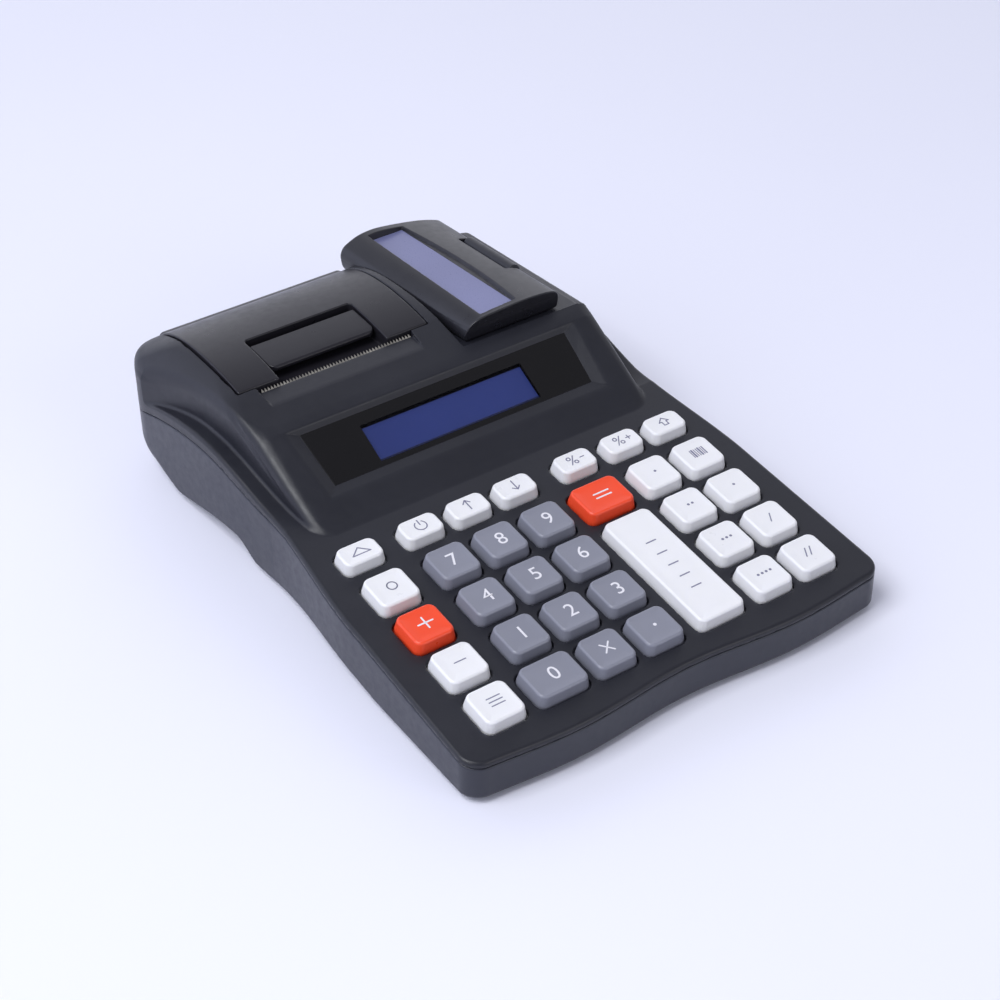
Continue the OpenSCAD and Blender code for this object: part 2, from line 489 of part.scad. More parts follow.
// ---- small parts -------------------------------------------------------
module rubber_feet() color([0.1, 0.1, 0.1]) for (f = FEET) translate([f[0], f[1], 0]) {
  translate([0, 0, 0.6]) cylinder(r = 6, h = 2.85);
  cylinder(r1 = 5.4, r2 = 6, h = 0.6);
}
module case_screws() color("silver") for (s = SCREWS) translate([s[0], s[1], 0]) {
  difference() {
    translate([0, 0, 3.3]) cylinder(r = 2.8, h = 2.2);
    translate([-0.4, -2, 3]) cube([0.8, 4, 1.3]);
    translate([-2, -0.4, 3]) cube([4, 0.8, 1.3]);
  }
  translate([0, 0, 5.5 - e]) cylinder(r = 1.5, h = s[3] - 5.5);
}
module dc_jack() translate([60, yr, 14.5]) rotate([90, 0, 0]) {
  color([0.08, 0.08, 0.08]) difference() {
    union() { cylinder(r = 4.95, h = 1); cylinder(r = 3.95, h = 13); }
    translate([0, 0, -1]) cylinder(r = 2.85, h = 10.5);
  }
  color("silver") translate([0, 0, 2]) cylinder(r = 1.05, h = 7.6);
}
module data_sockets() color([0.12, 0.12, 0.12]) for (x = [28, 45]) translate([x, yr, 14.5]) difference() {
  translate([-6.2, -13.9, -5.7]) cube([12.4, 13.9, 11.4]);
  translate([-4.9, -11, -3.4]) cube([9.8, 12, 6.8]);
  translate([-2.2, -11, -5]) cube([4.4, 12, 3]);
}

// ---- keys --------------------------------------------------------------
module key_feed() color(key_white) keycap(0);
module key_power() color(key_white) keycap(1);
module key_up() color(key_white) keycap(2);
module key_down() color(key_white) keycap(3);
module key_percent_minus() color(key_white) keycap(4);
module key_percent_plus() color(key_white) keycap(5);
module key_shift() color(key_white) keycap(6);
module key_clear() color(key_white) keycap(7);
module key_7() color(key_grey) keycap(8);
module key_8() color(key_grey) keycap(9);
module key_9() color(key_grey) keycap(10);
module key_subtotal() color(key_orange) keycap(11);
module key_dept_1() color(key_white) keycap(12);
module key_barcode() color(key_white) keycap(13);
module key_price() color(key_orange) keycap(14);
module key_4() color(key_grey) keycap(15);
module key_5() color(key_grey) keycap(16);
module key_6() color(key_grey) keycap(17);
module key_total() color(key_white) keycap(18);
module key_dept_2() color(key_white) keycap(19);
module key_decimal() color(key_white) keycap(20);
module key_void() color(key_white) keycap(21);
module key_1() color(key_grey) keycap(22);
module key_2() color(key_grey) keycap(23);
module key_3() color(key_grey) keycap(24);
module key_dept_3() color(key_white) keycap(25);
module key_pay_1() color(key_white) keycap(26);
module key_lookup() color(key_white) keycap(27);
module key_0() color(key_grey) keycap(28);
module key_multiply() color(key_grey) keycap(29);
module key_point() color(key_grey) keycap(30);
module key_dept_4() color(key_white) keycap(31);
module key_pay_2() color(key_white) keycap(32);

lower_case();
upper_case();
display_window();
main_lcd();
main_board();
key_mat();
printer_cover();
cover_hinge_pin();
release_lever();
tear_bar();
platen_roller();
platen_gear();
printer_frame();
print_head();
feed_motor();
motor_pinion();
idler_gear();
paper_roll();
customer_display_front();
customer_display_back();
customer_display_window();
customer_lcd();
display_hinge_pin();
rubber_feet();
case_screws();
dc_jack();
data_sockets();
key_feed();
key_power();
key_up();
key_down();
key_percent_minus();
key_percent_plus();
key_shift();
key_clear();
key_7();
key_8();
key_9();
key_subtotal();
key_dept_1();
key_barcode();
key_price();
key_4();
key_5();
key_6();
key_total();
key_dept_2();
key_decimal();
key_void();
key_1();
key_2();
key_3();
key_dept_3();
key_pay_1();
key_lookup();
key_0();
key_multiply();
key_point();
key_dept_4();
key_pay_2();
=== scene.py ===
import math

import bmesh
import bpy
import numpy as np
from mathutils import Matrix, Vector


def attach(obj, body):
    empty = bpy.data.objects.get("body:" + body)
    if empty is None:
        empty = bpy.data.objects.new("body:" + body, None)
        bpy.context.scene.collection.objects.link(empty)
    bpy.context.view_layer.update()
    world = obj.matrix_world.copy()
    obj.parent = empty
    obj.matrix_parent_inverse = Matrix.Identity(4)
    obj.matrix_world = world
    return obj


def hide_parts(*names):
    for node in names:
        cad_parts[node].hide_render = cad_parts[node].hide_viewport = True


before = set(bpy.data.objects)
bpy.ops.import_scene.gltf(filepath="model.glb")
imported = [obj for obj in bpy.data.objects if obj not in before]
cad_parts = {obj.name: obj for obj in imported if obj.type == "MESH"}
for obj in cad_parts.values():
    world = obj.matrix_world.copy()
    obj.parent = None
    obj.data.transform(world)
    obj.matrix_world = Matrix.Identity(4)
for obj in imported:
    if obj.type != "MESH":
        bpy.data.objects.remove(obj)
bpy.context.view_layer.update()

sc = bpy.context.scene
R = math.radians

# ------------------------------------------------------------------ camera
cam = bpy.data.objects.new("camera", bpy.data.cameras.new("camera"))
sc.collection.objects.link(cam)
sc.camera = cam
tilt_c = R(6.61)
A2 = np.array([[1, 0, 0], [0, math.cos(tilt_c), -math.sin(tilt_c)], [0, math.sin(tilt_c), math.cos(tilt_c)]])
eye = (np.array([-279.6, -411.1, 494.3]) - [63, 0, 0]) @ A2.T + [0, -38.5, 25.4]
turn = np.array([[0.81875434, -0.57113963, 0.05865874],
                 [-0.34927649, -0.57656468, -0.73863327],
                 [0.4556833, 0.58427108, -0.67155048]]) @ A2.T
m = Matrix.Identity(4)
for i in range(3):
    m[i][0], m[i][1], m[i][2], m[i][3] = turn[0][i], -turn[1][i], -turn[2][i], eye[i] / 1000
cam.matrix_world = m
cam.data.sensor_width = 36
cam.data.lens = 2180.6 * 36 / 1000
cam.data.clip_start, cam.data.clip_end = 0.02, 20

# ------------------------------------------------------------------ floor and light
sc.view_settings.view_transform = "Standard"
sc.view_settings.look = "None"


def lin(r, g, b):
    """linear colour of an sRGB triple from 0 to 255"""
    return tuple((c / 255 / 12.92) if c <= 10.3 else ((c / 255 + 0.055) / 1.055) ** 2.4 for c in (r, g, b)) + (1.0,)


def lamp(name, where, at, size, power, colour=(1, 1, 1)):
    d = bpy.data.lights.new(name, "AREA")
    d.shape, d.size, d.size_y = "RECTANGLE", size[0], size[1]
    d.energy, d.color = power, colour
    o = bpy.data.objects.new(name, d)
    sc.collection.objects.link(o)
    o.location = where
    o.rotation_euler = (Vector(at) - Vector(where)).to_track_quat("-Z", "Y").to_euler()
    return o


world = bpy.data.worlds.new("studio")
sc.world = world
world.use_nodes = True
wt = world.node_tree


def wnode(kind, **kw):
    n = wt.nodes.new(kind)
    for k, v in kw.items():
        setattr(n, k, v)
    return n


def wramp(src, lo, hi, a, b):
    n = wnode("ShaderNodeMapRange", interpolation_type="SMOOTHSTEP")
    for k, v in (("From Min", lo), ("From Max", hi), ("To Min", a), ("To Max", b)):
        n.inputs[k].default_value = v
    wt.links.new(src, n.inputs["Value"])
    return n.outputs["Result"]


# a white studio: dim overhead and in front, a broad bright sweep behind, a little bluer on the left
axes = wnode("ShaderNodeSeparateXYZ")
wt.links.new(wnode("ShaderNodeTexCoord").outputs["Generated"], axes.inputs[0])
behind = wramp(axes.outputs["Y"], -0.15, 0.7, 0.0, 1.0)
low_sky = wramp(axes.outputs["Z"], 0.42, 0.84, 1.0, 0.0)
sweep = wnode("ShaderNodeMath", operation="MULTIPLY")
wt.links.new(behind, sweep.inputs[0])
wt.links.new(low_sky, sweep.inputs[1])
level = wnode("ShaderNodeMath", operation="MULTIPLY_ADD")
wt.links.new(sweep.outputs[0], level.inputs[0])
level.inputs[1].default_value, level.inputs[2].default_value = 0.92, 0.30
hue = wnode("ShaderNodeMix", data_type="RGBA")
wt.links.new(wramp(axes.outputs["X"], -0.8, 0.6, 0.0, 1.0), hue.inputs["Factor"])
hue.inputs["A"].default_value, hue.inputs["B"].default_value = (0.86, 0.91, 1.16, 1), (0.97, 0.98, 1.07, 1)
wt.links.new(hue.outputs["Result"], wt.nodes["Background"].inputs["Color"])
wt.links.new(level.outputs[0], wt.nodes["Background"].inputs["Strength"])

lamp("softbox_top", (-0.98, -0.05, 1.68), (0, 0.02, 0), (1.05, 1.05), 25.0, (0.97, 0.98, 1))
lamp("softbox_left", (-1.9, -0.5, 1.1), (0, 0, 0.02), (2.1, 1.6), 10.0, (0.94, 0.96, 1))
lamp("softbox_front", (0.7, -2.0, 0.95), (0, 0, 0.02), (1.3, 0.9), 8.0, (1.0, 0.99, 1))


def nodes_of(name):
    mt = bpy.data.materials.new(name)
    mt.use_nodes = True
    nt = mt.node_tree
    return mt, nt, nt.nodes["Principled BSDF"]


def noise(nt, coord, scale, detail=2.0, rough=0.5):
    n = nt.nodes.new("ShaderNodeTexNoise")
    n.inputs["Scale"].default_value = scale
    n.inputs["Detail"].default_value = detail
    n.inputs["Roughness"].default_value = rough
    nt.links.new(coord, n.inputs["Vector"])
    return n.outputs["Fac"]


def remap(nt, fac, a, b, lo=0.0, hi=1.0):
    n = nt.nodes.new("ShaderNodeMapRange")
    n.inputs["From Min"].default_value, n.inputs["From Max"].default_value = lo, hi
    n.inputs["To Min"].default_value, n.inputs["To Max"].default_value = a, b
    nt.links.new(fac, n.inputs["Value"])
    return n.outputs["Result"]


def mix(nt, fac, a, b):
    n = nt.nodes.new("ShaderNodeMix")
    n.data_type = "RGBA"
    nt.links.new(fac, n.inputs["Factor"])
    for sock, v in ((n.inputs["A"], a), (n.inputs["B"], b)):
        if isinstance(v, tuple):
            sock.default_value = v
        else:
            nt.links.new(v, sock)
    return n.outputs["Result"]


def maths(nt, op, a, b=None):
    n = nt.nodes.new("ShaderNodeMath")
    n.operation = op
    for sock, v in ((n.inputs[0], a), (n.inputs[1], b)):
        if v is None:
            continue
        if isinstance(v, (int, float)):
            sock.default_value = v
        else:
            nt.links.new(v, sock)
    return n.outputs[0]


def scaled(c, k):
    return tuple(min(1.0, x * k) for x in c[:3]) + (1.0,)


def plastic(name, col, rough=0.42, spread=0.07, grain=3200, bump=0.10, vary=0.10, wear=0.35, spec=0.5, coat=0.0, sss=0.0, metal=0.0, cloud=38, tint=None, crease_shade_amount=0.25):
    """moulded plastic: fine spark-eroded grain, faint mottling, handled patches, paler worn edges, and painted shade
    that darkens the concave creases
    """
    mt, nt, bs = nodes_of(name)
    tc = nt.nodes.new("ShaderNodeTexCoord").outputs["Object"]
    big = noise(nt, tc, cloud, 3, 0.55)
    mid = noise(nt, tc, cloud * 9, 4, 0.6)
    fine = noise(nt, tc, grain, 2, 0.5)
    base = mix(nt, remap(nt, big, 0, 1, 0.32, 0.68), scaled(col, 1 - vary), scaled(col, 1 + vary) if tint is None else tint)
    geo = nt.nodes.new("ShaderNodeNewGeometry").outputs["Pointiness"]
    edge = remap(nt, geo, 0, 1, 0.55, 0.68)
    worn = maths(nt, "MULTIPLY", edge, remap(nt, mid, 0.15, 1.0, 0.38, 0.66))
    worn = maths(nt, "MULTIPLY", worn, wear)
    base = mix(nt, worn, base, scaled(tuple(min(1.0, 0.6 * x + 0.16) for x in col[:3]), 1.0))
    # painted shade: concave creases (low pointiness) darkened toward 70% of the colour
    painted_crease_shade = remap(nt, geo, 1, 0, 0.30, 0.44)
    base = mix(nt, maths(nt, "MULTIPLY", painted_crease_shade, crease_shade_amount), base, scaled(col, 0.7))
    nt.links.new(base, bs.inputs["Base Color"])
    r = maths(nt, "ADD", remap(nt, mid, rough - spread, rough + spread, 0.3, 0.7), remap(nt, big, -spread / 2, spread / 2, 0.35, 0.65))
    r = maths(nt, "SUBTRACT", r, maths(nt, "MULTIPLY", worn, 0.25))
    nt.links.new(r, bs.inputs["Roughness"])
    bn = nt.nodes.new("ShaderNodeBump")
    bn.inputs["Strength"].default_value = bump
    bn.inputs["Distance"].default_value = 0.00012
    nt.links.new(maths(nt, "ADD", fine, maths(nt, "MULTIPLY", mid, 0.35)), bn.inputs["Height"])
    nt.links.new(bn.outputs["Normal"], bs.inputs["Normal"])
    bs.inputs["Specular IOR Level"].default_value = spec
    bs.inputs["Coat Weight"].default_value = coat
    bs.inputs["Coat Roughness"].default_value = 0.25
    bs.inputs["Metallic"].default_value = metal
    if sss:
        bs.inputs["Subsurface Weight"].default_value = sss
        bs.inputs["Subsurface Radius"].default_value = (0.001, 0.001, 0.0012)
        bs.inputs["Subsurface Scale"].default_value = 1.0
    return mt


def metal(name, col, rough=0.3, along=(1, 1, 1), scratch=900, spread=0.1, vary=0.08):
    """bare metal with drawn marks and a little tarnish"""
    mt, nt, bs = nodes_of(name)
    tc = nt.nodes.new("ShaderNodeTexCoord").outputs["Object"]
    mp = nt.nodes.new("ShaderNodeMapping")
    mp.inputs["Scale"].default_value = along
    nt.links.new(tc, mp.inputs["Vector"])
    marks = noise(nt, mp.outputs["Vector"], scratch, 4, 0.6)
    cloud = noise(nt, tc, 180, 3, 0.6)
    nt.links.new(mix(nt, remap(nt, cloud, 0, 1, 0.35, 0.65), scaled(col, 1 - vary * 2), scaled(col, 1 + vary)), bs.inputs["Base Color"])
    nt.links.new(maths(nt, "ADD", remap(nt, marks, rough - spread, rough + spread, 0.3, 0.7), remap(nt, cloud, -0.05, 0.08, 0.3, 0.7)), bs.inputs["Roughness"])
    bn = nt.nodes.new("ShaderNodeBump")
    bn.inputs["Strength"].default_value = 0.12
    bn.inputs["Distance"].default_value = 0.00005
    nt.links.new(marks, bn.inputs["Height"])
    nt.links.new(bn.outputs["Normal"], bs.inputs["Normal"])
    bs.inputs["Metallic"].default_value = 1.0
    return mt


floor_m, nt, bs = nodes_of("floor")
tc = nt.nodes.new("ShaderNodeTexCoord").outputs["Object"]
nt.links.new(mix(nt, noise(nt, tc, 2.5, 2), lin(232, 233, 247), lin(238, 239, 252)), bs.inputs["Base Color"])
bs.inputs["Roughness"].default_value = 0.55
bs.inputs["Specular IOR Level"].default_value = 0.25
fm = bpy.data.meshes.new("floor")
fm.from_pydata([(-4, -4, 0), (4, -4, 0), (4, 4, 0), (-4, 4, 0)], [], [(0, 1, 2, 3)])
fm.materials.append(floor_m)
floor = bpy.data.objects.new("floor", fm)
sc.collection.objects.link(floor)

# ------------------------------------------------------------------ materials
M = {}
M["upper"] = plastic("upper_shell", lin(32, 33, 41), 0.40, 0.05, 2900, 0.14, 0.06, 0.14, 0.44, crease_shade_amount=0.12)
M["lower"] = plastic("lower_shell", lin(40, 42, 53), 0.38, 0.06, 2900, 0.14, 0.06, 0.18, 0.5, crease_shade_amount=0.12)
M["cover"] = plastic("cover_shell", lin(31, 30, 36), 0.33, 0.05, 3600, 0.07, 0.05, 0.06, 0.42, crease_shade_amount=0.0)
M["pod"] = plastic("display_shell", lin(31, 31, 37), 0.33, 0.05, 3600, 0.07, 0.05, 0.02, 0.5, crease_shade_amount=0.0)
M["white"] = plastic("key_white", lin(233, 233, 236), 0.34, 0.06, 4200, 0.05, 0.015, 0.0, 0.5, sss=0.12)
M["grey"] = plastic("key_grey", lin(131, 133, 146), 0.36, 0.06, 4200, 0.06, 0.03, 0.2, 0.5)
M["orange"] = plastic("key_orange", lin(241, 77, 42), 0.34, 0.06, 4200, 0.05, 0.03, 0.1, 0.5, sss=0.1)
M["ink_white"] = plastic("legend_white", lin(226, 225, 232), 0.5, 0.04, 5000, 0.05, 0.02, 0.0)
M["ink_grey"] = plastic("legend_grey", lin(122, 122, 146), 0.5, 0.04, 5000, 0.05, 0.04, 0.0)
M["rubber"] = plastic("feet_rubber", lin(28, 28, 30), 0.75, 0.08, 1800, 0.4, 0.12, 0.2, 0.3)
M["platen"] = plastic("platen_rubber", lin(34, 33, 35), 0.62, 0.08, 2200, 0.3, 0.1, 0.1, 0.35)
M["gear"] = plastic("gear_acetal", lin(222, 220, 208), 0.38, 0.06, 3000, 0.08, 0.04, 0.0, 0.5, sss=0.15)
M["frame"] = plastic("printer_frame", lin(66, 67, 72), 0.45, 0.07, 2600, 0.2, 0.07, 0.3)
M["socket"] = plastic("socket_black", lin(26, 26, 28), 0.4, 0.07, 3000, 0.15, 0.08, 0.2)
M["mat"] = plastic("silicone_mat", lin(196, 196, 190), 0.6, 0.08, 2000, 0.15, 0.05, 0.1, 0.4, sss=0.2)
M["board"] = plastic("circuit_board", lin(24, 74, 46), 0.38, 0.08, 1500, 0.2, 0.16, 0.1, 0.5)
M["paper"] = plastic("paper_roll", lin(240, 239, 234), 0.7, 0.05, 2600, 0.18, 0.02, 0.0, 0.3)
M["steel"] = metal("steel_pin", lin(196, 197, 202), 0.26, (0.05, 1, 1))
M["steel_y"] = metal("steel_pin_y", lin(70, 70, 74), 0.34, (1, 0.05, 1))
M["blade"] = metal("tear_blade", lin(206, 202, 192), 0.34, (0.05, 1, 1), 700)
M["motor"] = metal("motor_can", lin(168, 169, 174), 0.34, (0.1, 1, 1), 500)
M["head"] = metal("print_head", lin(178, 180, 186), 0.3, (0.1, 1, 1), 600)
M["brass"] = metal("pinion_brass", lin(205, 168, 92), 0.28, (1, 1, 1), 700)
M["zinc"] = metal("screw_zinc", lin(186, 188, 192), 0.3, (1, 1, 1), 900)


def glassy(name, col, rough=0.06, vary=0.12, clear=None):
    """tinted, nearly opaque window: faint wipe marks and dustiness in a glossy face"""
    mt, nt, bs = nodes_of(name)
    tc = nt.nodes.new("ShaderNodeTexCoord").outputs["Object"]
    mp = nt.nodes.new("ShaderNodeMapping")
    mp.inputs["Scale"].default_value = (0.25, 1, 1)
    mp.inputs["Rotation"].default_value = (0, 0, 0.5)
    nt.links.new(tc, mp.inputs["Vector"])
    wipe = noise(nt, mp.outputs["Vector"], 260, 4, 0.6)
    big = noise(nt, tc, 30, 3, 0.5)
    nt.links.new(mix(nt, remap(nt, big, 0, 1, 0.3, 0.7), scaled(col, 1 - vary), scaled(col, 1 + vary)), bs.inputs["Base Color"])
    nt.links.new(maths(nt, "ADD", remap(nt, wipe, rough * 0.8, rough * 1.3, 0.35, 0.7), remap(nt, big, 0.0, 0.03, 0.3, 0.7)), bs.inputs["Roughness"])
    bn = nt.nodes.new("ShaderNodeBump")
    bn.inputs["Strength"].default_value = 0.04
    bn.inputs["Distance"].default_value = 0.00004
    nt.links.new(wipe, bn.inputs["Height"])
    nt.links.new(bn.outputs["Normal"], bs.inputs["Normal"])
    bs.inputs["IOR"].default_value = 1.49
    if clear:
        # the screen shows through one rectangle of the pane, given across and along the slope, in metres
        sp = nt.nodes.new("ShaderNodeSeparateXYZ")
        nt.links.new(tc, sp.inputs[0])
        across = maths(nt, "ABSOLUTE", maths(nt, "SUBTRACT", sp.outputs[0], (clear[0] + clear[2]) / 2))
        along = maths(nt, "ABSOLUTE", maths(nt, "SUBTRACT", sp.outputs[1], (clear[1] + clear[3]) / 2))
        out = maths(nt, "MAXIMUM", maths(nt, "SUBTRACT", across, (clear[2] - clear[0]) / 2), maths(nt, "SUBTRACT", along, (clear[3] - clear[1]) / 2))
        nt.links.new(maths(nt, "MINIMUM", remap(nt, out, 0.16, 1.0, -0.00008, 0.00008), remap(nt, wipe, 1.0, 0.97, 0.4, 0.8)), bs.inputs["Alpha"])
    return mt


def screen(name, col, dark, glow=0.0):
    """backlit liquid crystal with nothing on it: cloudy backlight under a face of faint dustiness"""
    mt, nt, bs = nodes_of(name)
    tc = nt.nodes.new("ShaderNodeTexCoord").outputs["Object"]
    big = noise(nt, tc, 24, 2, 0.5)
    fine = noise(nt, tc, 2400, 2, 0.5)
    base = mix(nt, remap(nt, big, 0, 1, 0.3, 0.7), col, scaled(col, 1.12))
    base = mix(nt, remap(nt, fine, 0, 0.05, 0.4, 0.7), base, dark)
    nt.links.new(base, bs.inputs["Base Color"])
    nt.links.new(remap(nt, fine, 0.27, 0.33, 0.3, 0.7), bs.inputs["Roughness"])
    bn = nt.nodes.new("ShaderNodeBump")
    bn.inputs["Strength"].default_value = 0.03
    bn.inputs["Distance"].default_value = 0.00003
    nt.links.new(fine, bn.inputs["Height"])
    nt.links.new(bn.outputs["Normal"], bs.inputs["Normal"])
    if glow:
        nt.links.new(base, bs.inputs["Emission Color"])
        bs.inputs["Emission Strength"].default_value = glow
    return mt


# the pane's clear part, on the panel's slope, as seen from above
PANE = [(-34.1, 19.5), (32.7, 34.4)]
cy, sy = math.cos(R(28.1)), math.sin(R(28.1))
M["smoked"] = glassy("dark_window", lin(10, 9, 12), 0.10, clear=[PANE[0][0] / 1000, (-6.2 + PANE[0][1] * cy + 1.8 * sy) / 1000, PANE[1][0] / 1000, (-6.2 + PANE[1][1] * cy + 1.8 * sy) / 1000])
M["blue"] = screen("blue_screen", lin(50, 63, 126), lin(44, 56, 116), 0.34)
M["lavender"] = screen("pale_screen", lin(108, 111, 150), lin(102, 105, 144), 0.0)

# ------------------------------------------------------------------ fields
# shells are worked out as distance fields in millimetres, below zero inside
F32 = np.float32


def ss(t):
    t = np.clip(t, 0, 1)
    return t * t * (3 - 2 * t)


def rint(a, b, r):
    """intersection of a and b with the edge between them rounded to r"""
    u, v = np.maximum(a + r, 0), np.maximum(b + r, 0)
    return np.minimum(-r, np.maximum(a, b)) + np.sqrt(u * u + v * v)


def runi(a, b, r):
    """union of a and b with the corner between them filled to r"""
    u, v = np.maximum(r - a, 0), np.maximum(r - b, 0)
    return np.maximum(r, np.minimum(a, b)) - np.sqrt(u * u + v * v)


def rcut(a, b, r):
    return rint(a, -b, r)


def bx(x, y, z, lo, hi, r=0.0):
    """box between two corners, edges rounded to r"""
    c = [(p + q) / 2 for p, q in zip(lo, hi)]
    h = [(q - p) / 2 - r for p, q in zip(lo, hi)]
    qx, qy, qz = np.abs(x - c[0]) - h[0], np.abs(y - c[1]) - h[1], np.abs(z - c[2]) - h[2]
    if r == 0:
        return np.maximum(np.maximum(qx, qy), qz)
    out = np.sqrt(np.maximum(qx, 0) ** 2 + np.maximum(qy, 0) ** 2 + np.maximum(qz, 0) ** 2)
    return out + np.minimum(np.maximum(np.maximum(qx, qy), qz), 0) - r


def polygon(pts, u, v):
    """signed distance to a closed outline"""
    d = np.full(np.broadcast(u, v).shape, 1e9)
    s = np.ones(d.shape)
    for i in range(len(pts)):
        ax, ay = pts[i]
        ex, ey = pts[i - 1][0] - ax, pts[i - 1][1] - ay
        if ex * ex + ey * ey < 1e-12:
            continue
        wx, wy = u - ax, v - ay
        t = np.clip((wx * ex + wy * ey) / (ex * ex + ey * ey), 0, 1)
        d = np.minimum(d, (wx - ex * t) ** 2 + (wy - ey * t) ** 2)
        c1, c2, c3 = v >= ay, v < ay + ey, ex * wy > ey * wx
        s = np.where((c1 & c2 & c3) | (~c1 & ~c2 & ~c3), -s, s)
    return s * np.sqrt(d)


class Outline:
    """a closed outline's distance, tabulated, so that it is quick to look up"""

    def __init__(self, pts, step=0.25, pad=4.0, box=None):
        p = np.array(pts, float)
        lo, hi = (p.min(0) - pad, p.max(0) + pad) if box is None else (np.array(box[0], float), np.array(box[1], float))
        lo = lo - np.array([0.01371, 0.01733])  # keeps every row off the corners' own coordinates
        self.lo, self.step = lo, step
        self.n = np.ceil((hi - lo) / step).astype(int) + 1
        u = lo[0] + step * np.arange(self.n[0])[:, None]
        v = lo[1] + step * np.arange(self.n[1])[None, :]
        self.t = polygon([tuple(q) for q in p], u, v)
        self.t32 = self.t.astype(F32)

    def __call__(self, u, v):
        t = self.t32 if getattr(u, "dtype", None) == F32 else self.t
        a = np.clip((u - self.lo[0]) / self.step, 0, self.n[0] - 1.001)
        b = np.clip((v - self.lo[1]) / self.step, 0, self.n[1] - 1.001)
        i, j = a.astype(np.int32), b.astype(np.int32)
        a, b = a - i, b - j
        if t.dtype == F32:
            a, b = a.astype(F32), b.astype(F32)
        i, j = np.broadcast_arrays(i, j)
        return (t[i, j] * (1 - a) + t[i + 1, j] * a) * (1 - b) + (t[i, j + 1] * (1 - a) + t[i + 1, j + 1] * a) * b


def smooth_line(pts, n=6):
    """Catmull-Rom curve through points, ends kept"""
    p = [np.array(q, float) for q in pts]
    p = [2 * p[0] - p[1]] + p + [2 * p[-1] - p[-2]]
    out = []
    for i in range(1, len(p) - 2):
        for k in range(n):
            t = k / n
            out.append(0.5 * (2 * p[i] + (p[i + 1] - p[i - 1]) * t + (2 * p[i - 1] - 5 * p[i] + 4 * p[i + 1] - p[i + 2]) * t * t
                              + (3 * p[i] - p[i - 1] - 3 * p[i + 1] + p[i + 2]) * t ** 3))
    out.append(p[-2])
    return [tuple(q) for q in out]


def nets(f, lo, hi, h, squeeze=None):
    """surface of the field f in the box, as quads drawn onto the true surface. h is the cell, one number or three."""
    hs = (h, h, h) if isinstance(h, (int, float)) else h
    ax = [np.arange(lo[k], hi[k] + hs[k], hs[k]) for k in range(3)]
    X, Y, Z = (ax[0].astype(F32)[:, None, None], ax[1].astype(F32)[None, :, None], ax[2].astype(F32)[None, None, :])
    F = np.ascontiguousarray(np.broadcast_to(f(X, Y, Z), (len(ax[0]), len(ax[1]), len(ax[2])))).astype(F32)
    neg = F < 0
    c = np.zeros(tuple(s - 1 for s in F.shape), np.int8)
    for i in (0, 1):
        for j in (0, 1):
            for k in (0, 1):
                c += neg[i:F.shape[0] - 1 + i, j:F.shape[1] - 1 + j, k:F.shape[2] - 1 + k]
    act = (c > 0) & (c < 8)
    I, J, K = np.nonzero(act)
    idx = np.full(act.shape, -1, np.int32)
    idx[I, J, K] = np.arange(len(I))
    P, W = np.zeros((len(I), 3)), np.zeros(len(I))
    for axis in range(3):
        for p in (0, 1):
            for q in (0, 1):
                a = [0, 0, 0]
                a[(axis + 1) % 3], a[(axis + 2) % 3] = p, q
                b = list(a)
                b[axis] = 1
                fa, fb = F[I + a[0], J + a[1], K + a[2]], F[I + b[0], J + b[1], K + b[2]]
                on = (fa < 0) != (fb < 0)
                t = np.where(on, fa / np.where(on, fa - fb, 1), 0)
                pos = np.stack([np.full(len(I), float(v)) for v in a], 1)
                pos[:, axis] += t
                P[on] += pos[on]
                W[on] += 1
    P /= W[:, None]
    P = np.stack([ax[0][I] + P[:, 0] * hs[0], ax[1][J] + P[:, 1] * hs[1], ax[2][K] + P[:, 2] * hs[2]], 1)
    quads = []
    for axis in range(3):
        o1, o2 = (axis + 1) % 3, (axis + 2) % 3
        sl0, sl1 = [slice(1, -1)] * 3, [slice(1, -1)] * 3
        sl0[axis], sl1[axis] = slice(0, -1), slice(1, None)
        s = neg[tuple(sl0)] != neg[tuple(sl1)]
        g = list(np.nonzero(s))
        g[o1], g[o2] = g[o1] + 1, g[o2] + 1
        low = neg[tuple(g)]
        q = []
        for d1, d2 in ((-1, -1), (0, -1), (0, 0), (-1, 0)):
            w = list(g)
            w[o1], w[o2] = g[o1] + d1, g[o2] + d2
            q.append(idx[tuple(w)])
        q = np.stack(q, 1)
        q[~low] = q[~low][:, ::-1]
        quads.append(q)
    quads = np.concatenate(quads)
    return onto(f, P, min(hs), 4), quads


def slope(f, P, e=0.1):
    g = np.zeros_like(P)
    for k in range(3):
        a, b = P.copy(), P.copy()
        a[:, k] += e
        b[:, k] -= e
        g[:, k] = (f(a[:, 0], a[:, 1], a[:, 2]) - f(b[:, 0], b[:, 1], b[:, 2])) / (2 * e)
    return g


def onto(f, P, h, times):
    for _ in range(times):
        v = f(P[:, 0], P[:, 1], P[:, 2])
        g = slope(f, P, 0.06)
        n2 = np.maximum((g * g).sum(1), 0.2)
        step = (v / n2)[:, None] * g
        size = np.linalg.norm(step, axis=1)
        step *= np.minimum(1, 0.45 * h / np.maximum(size, 1e-9))[:, None]
        P = P - step
    return P


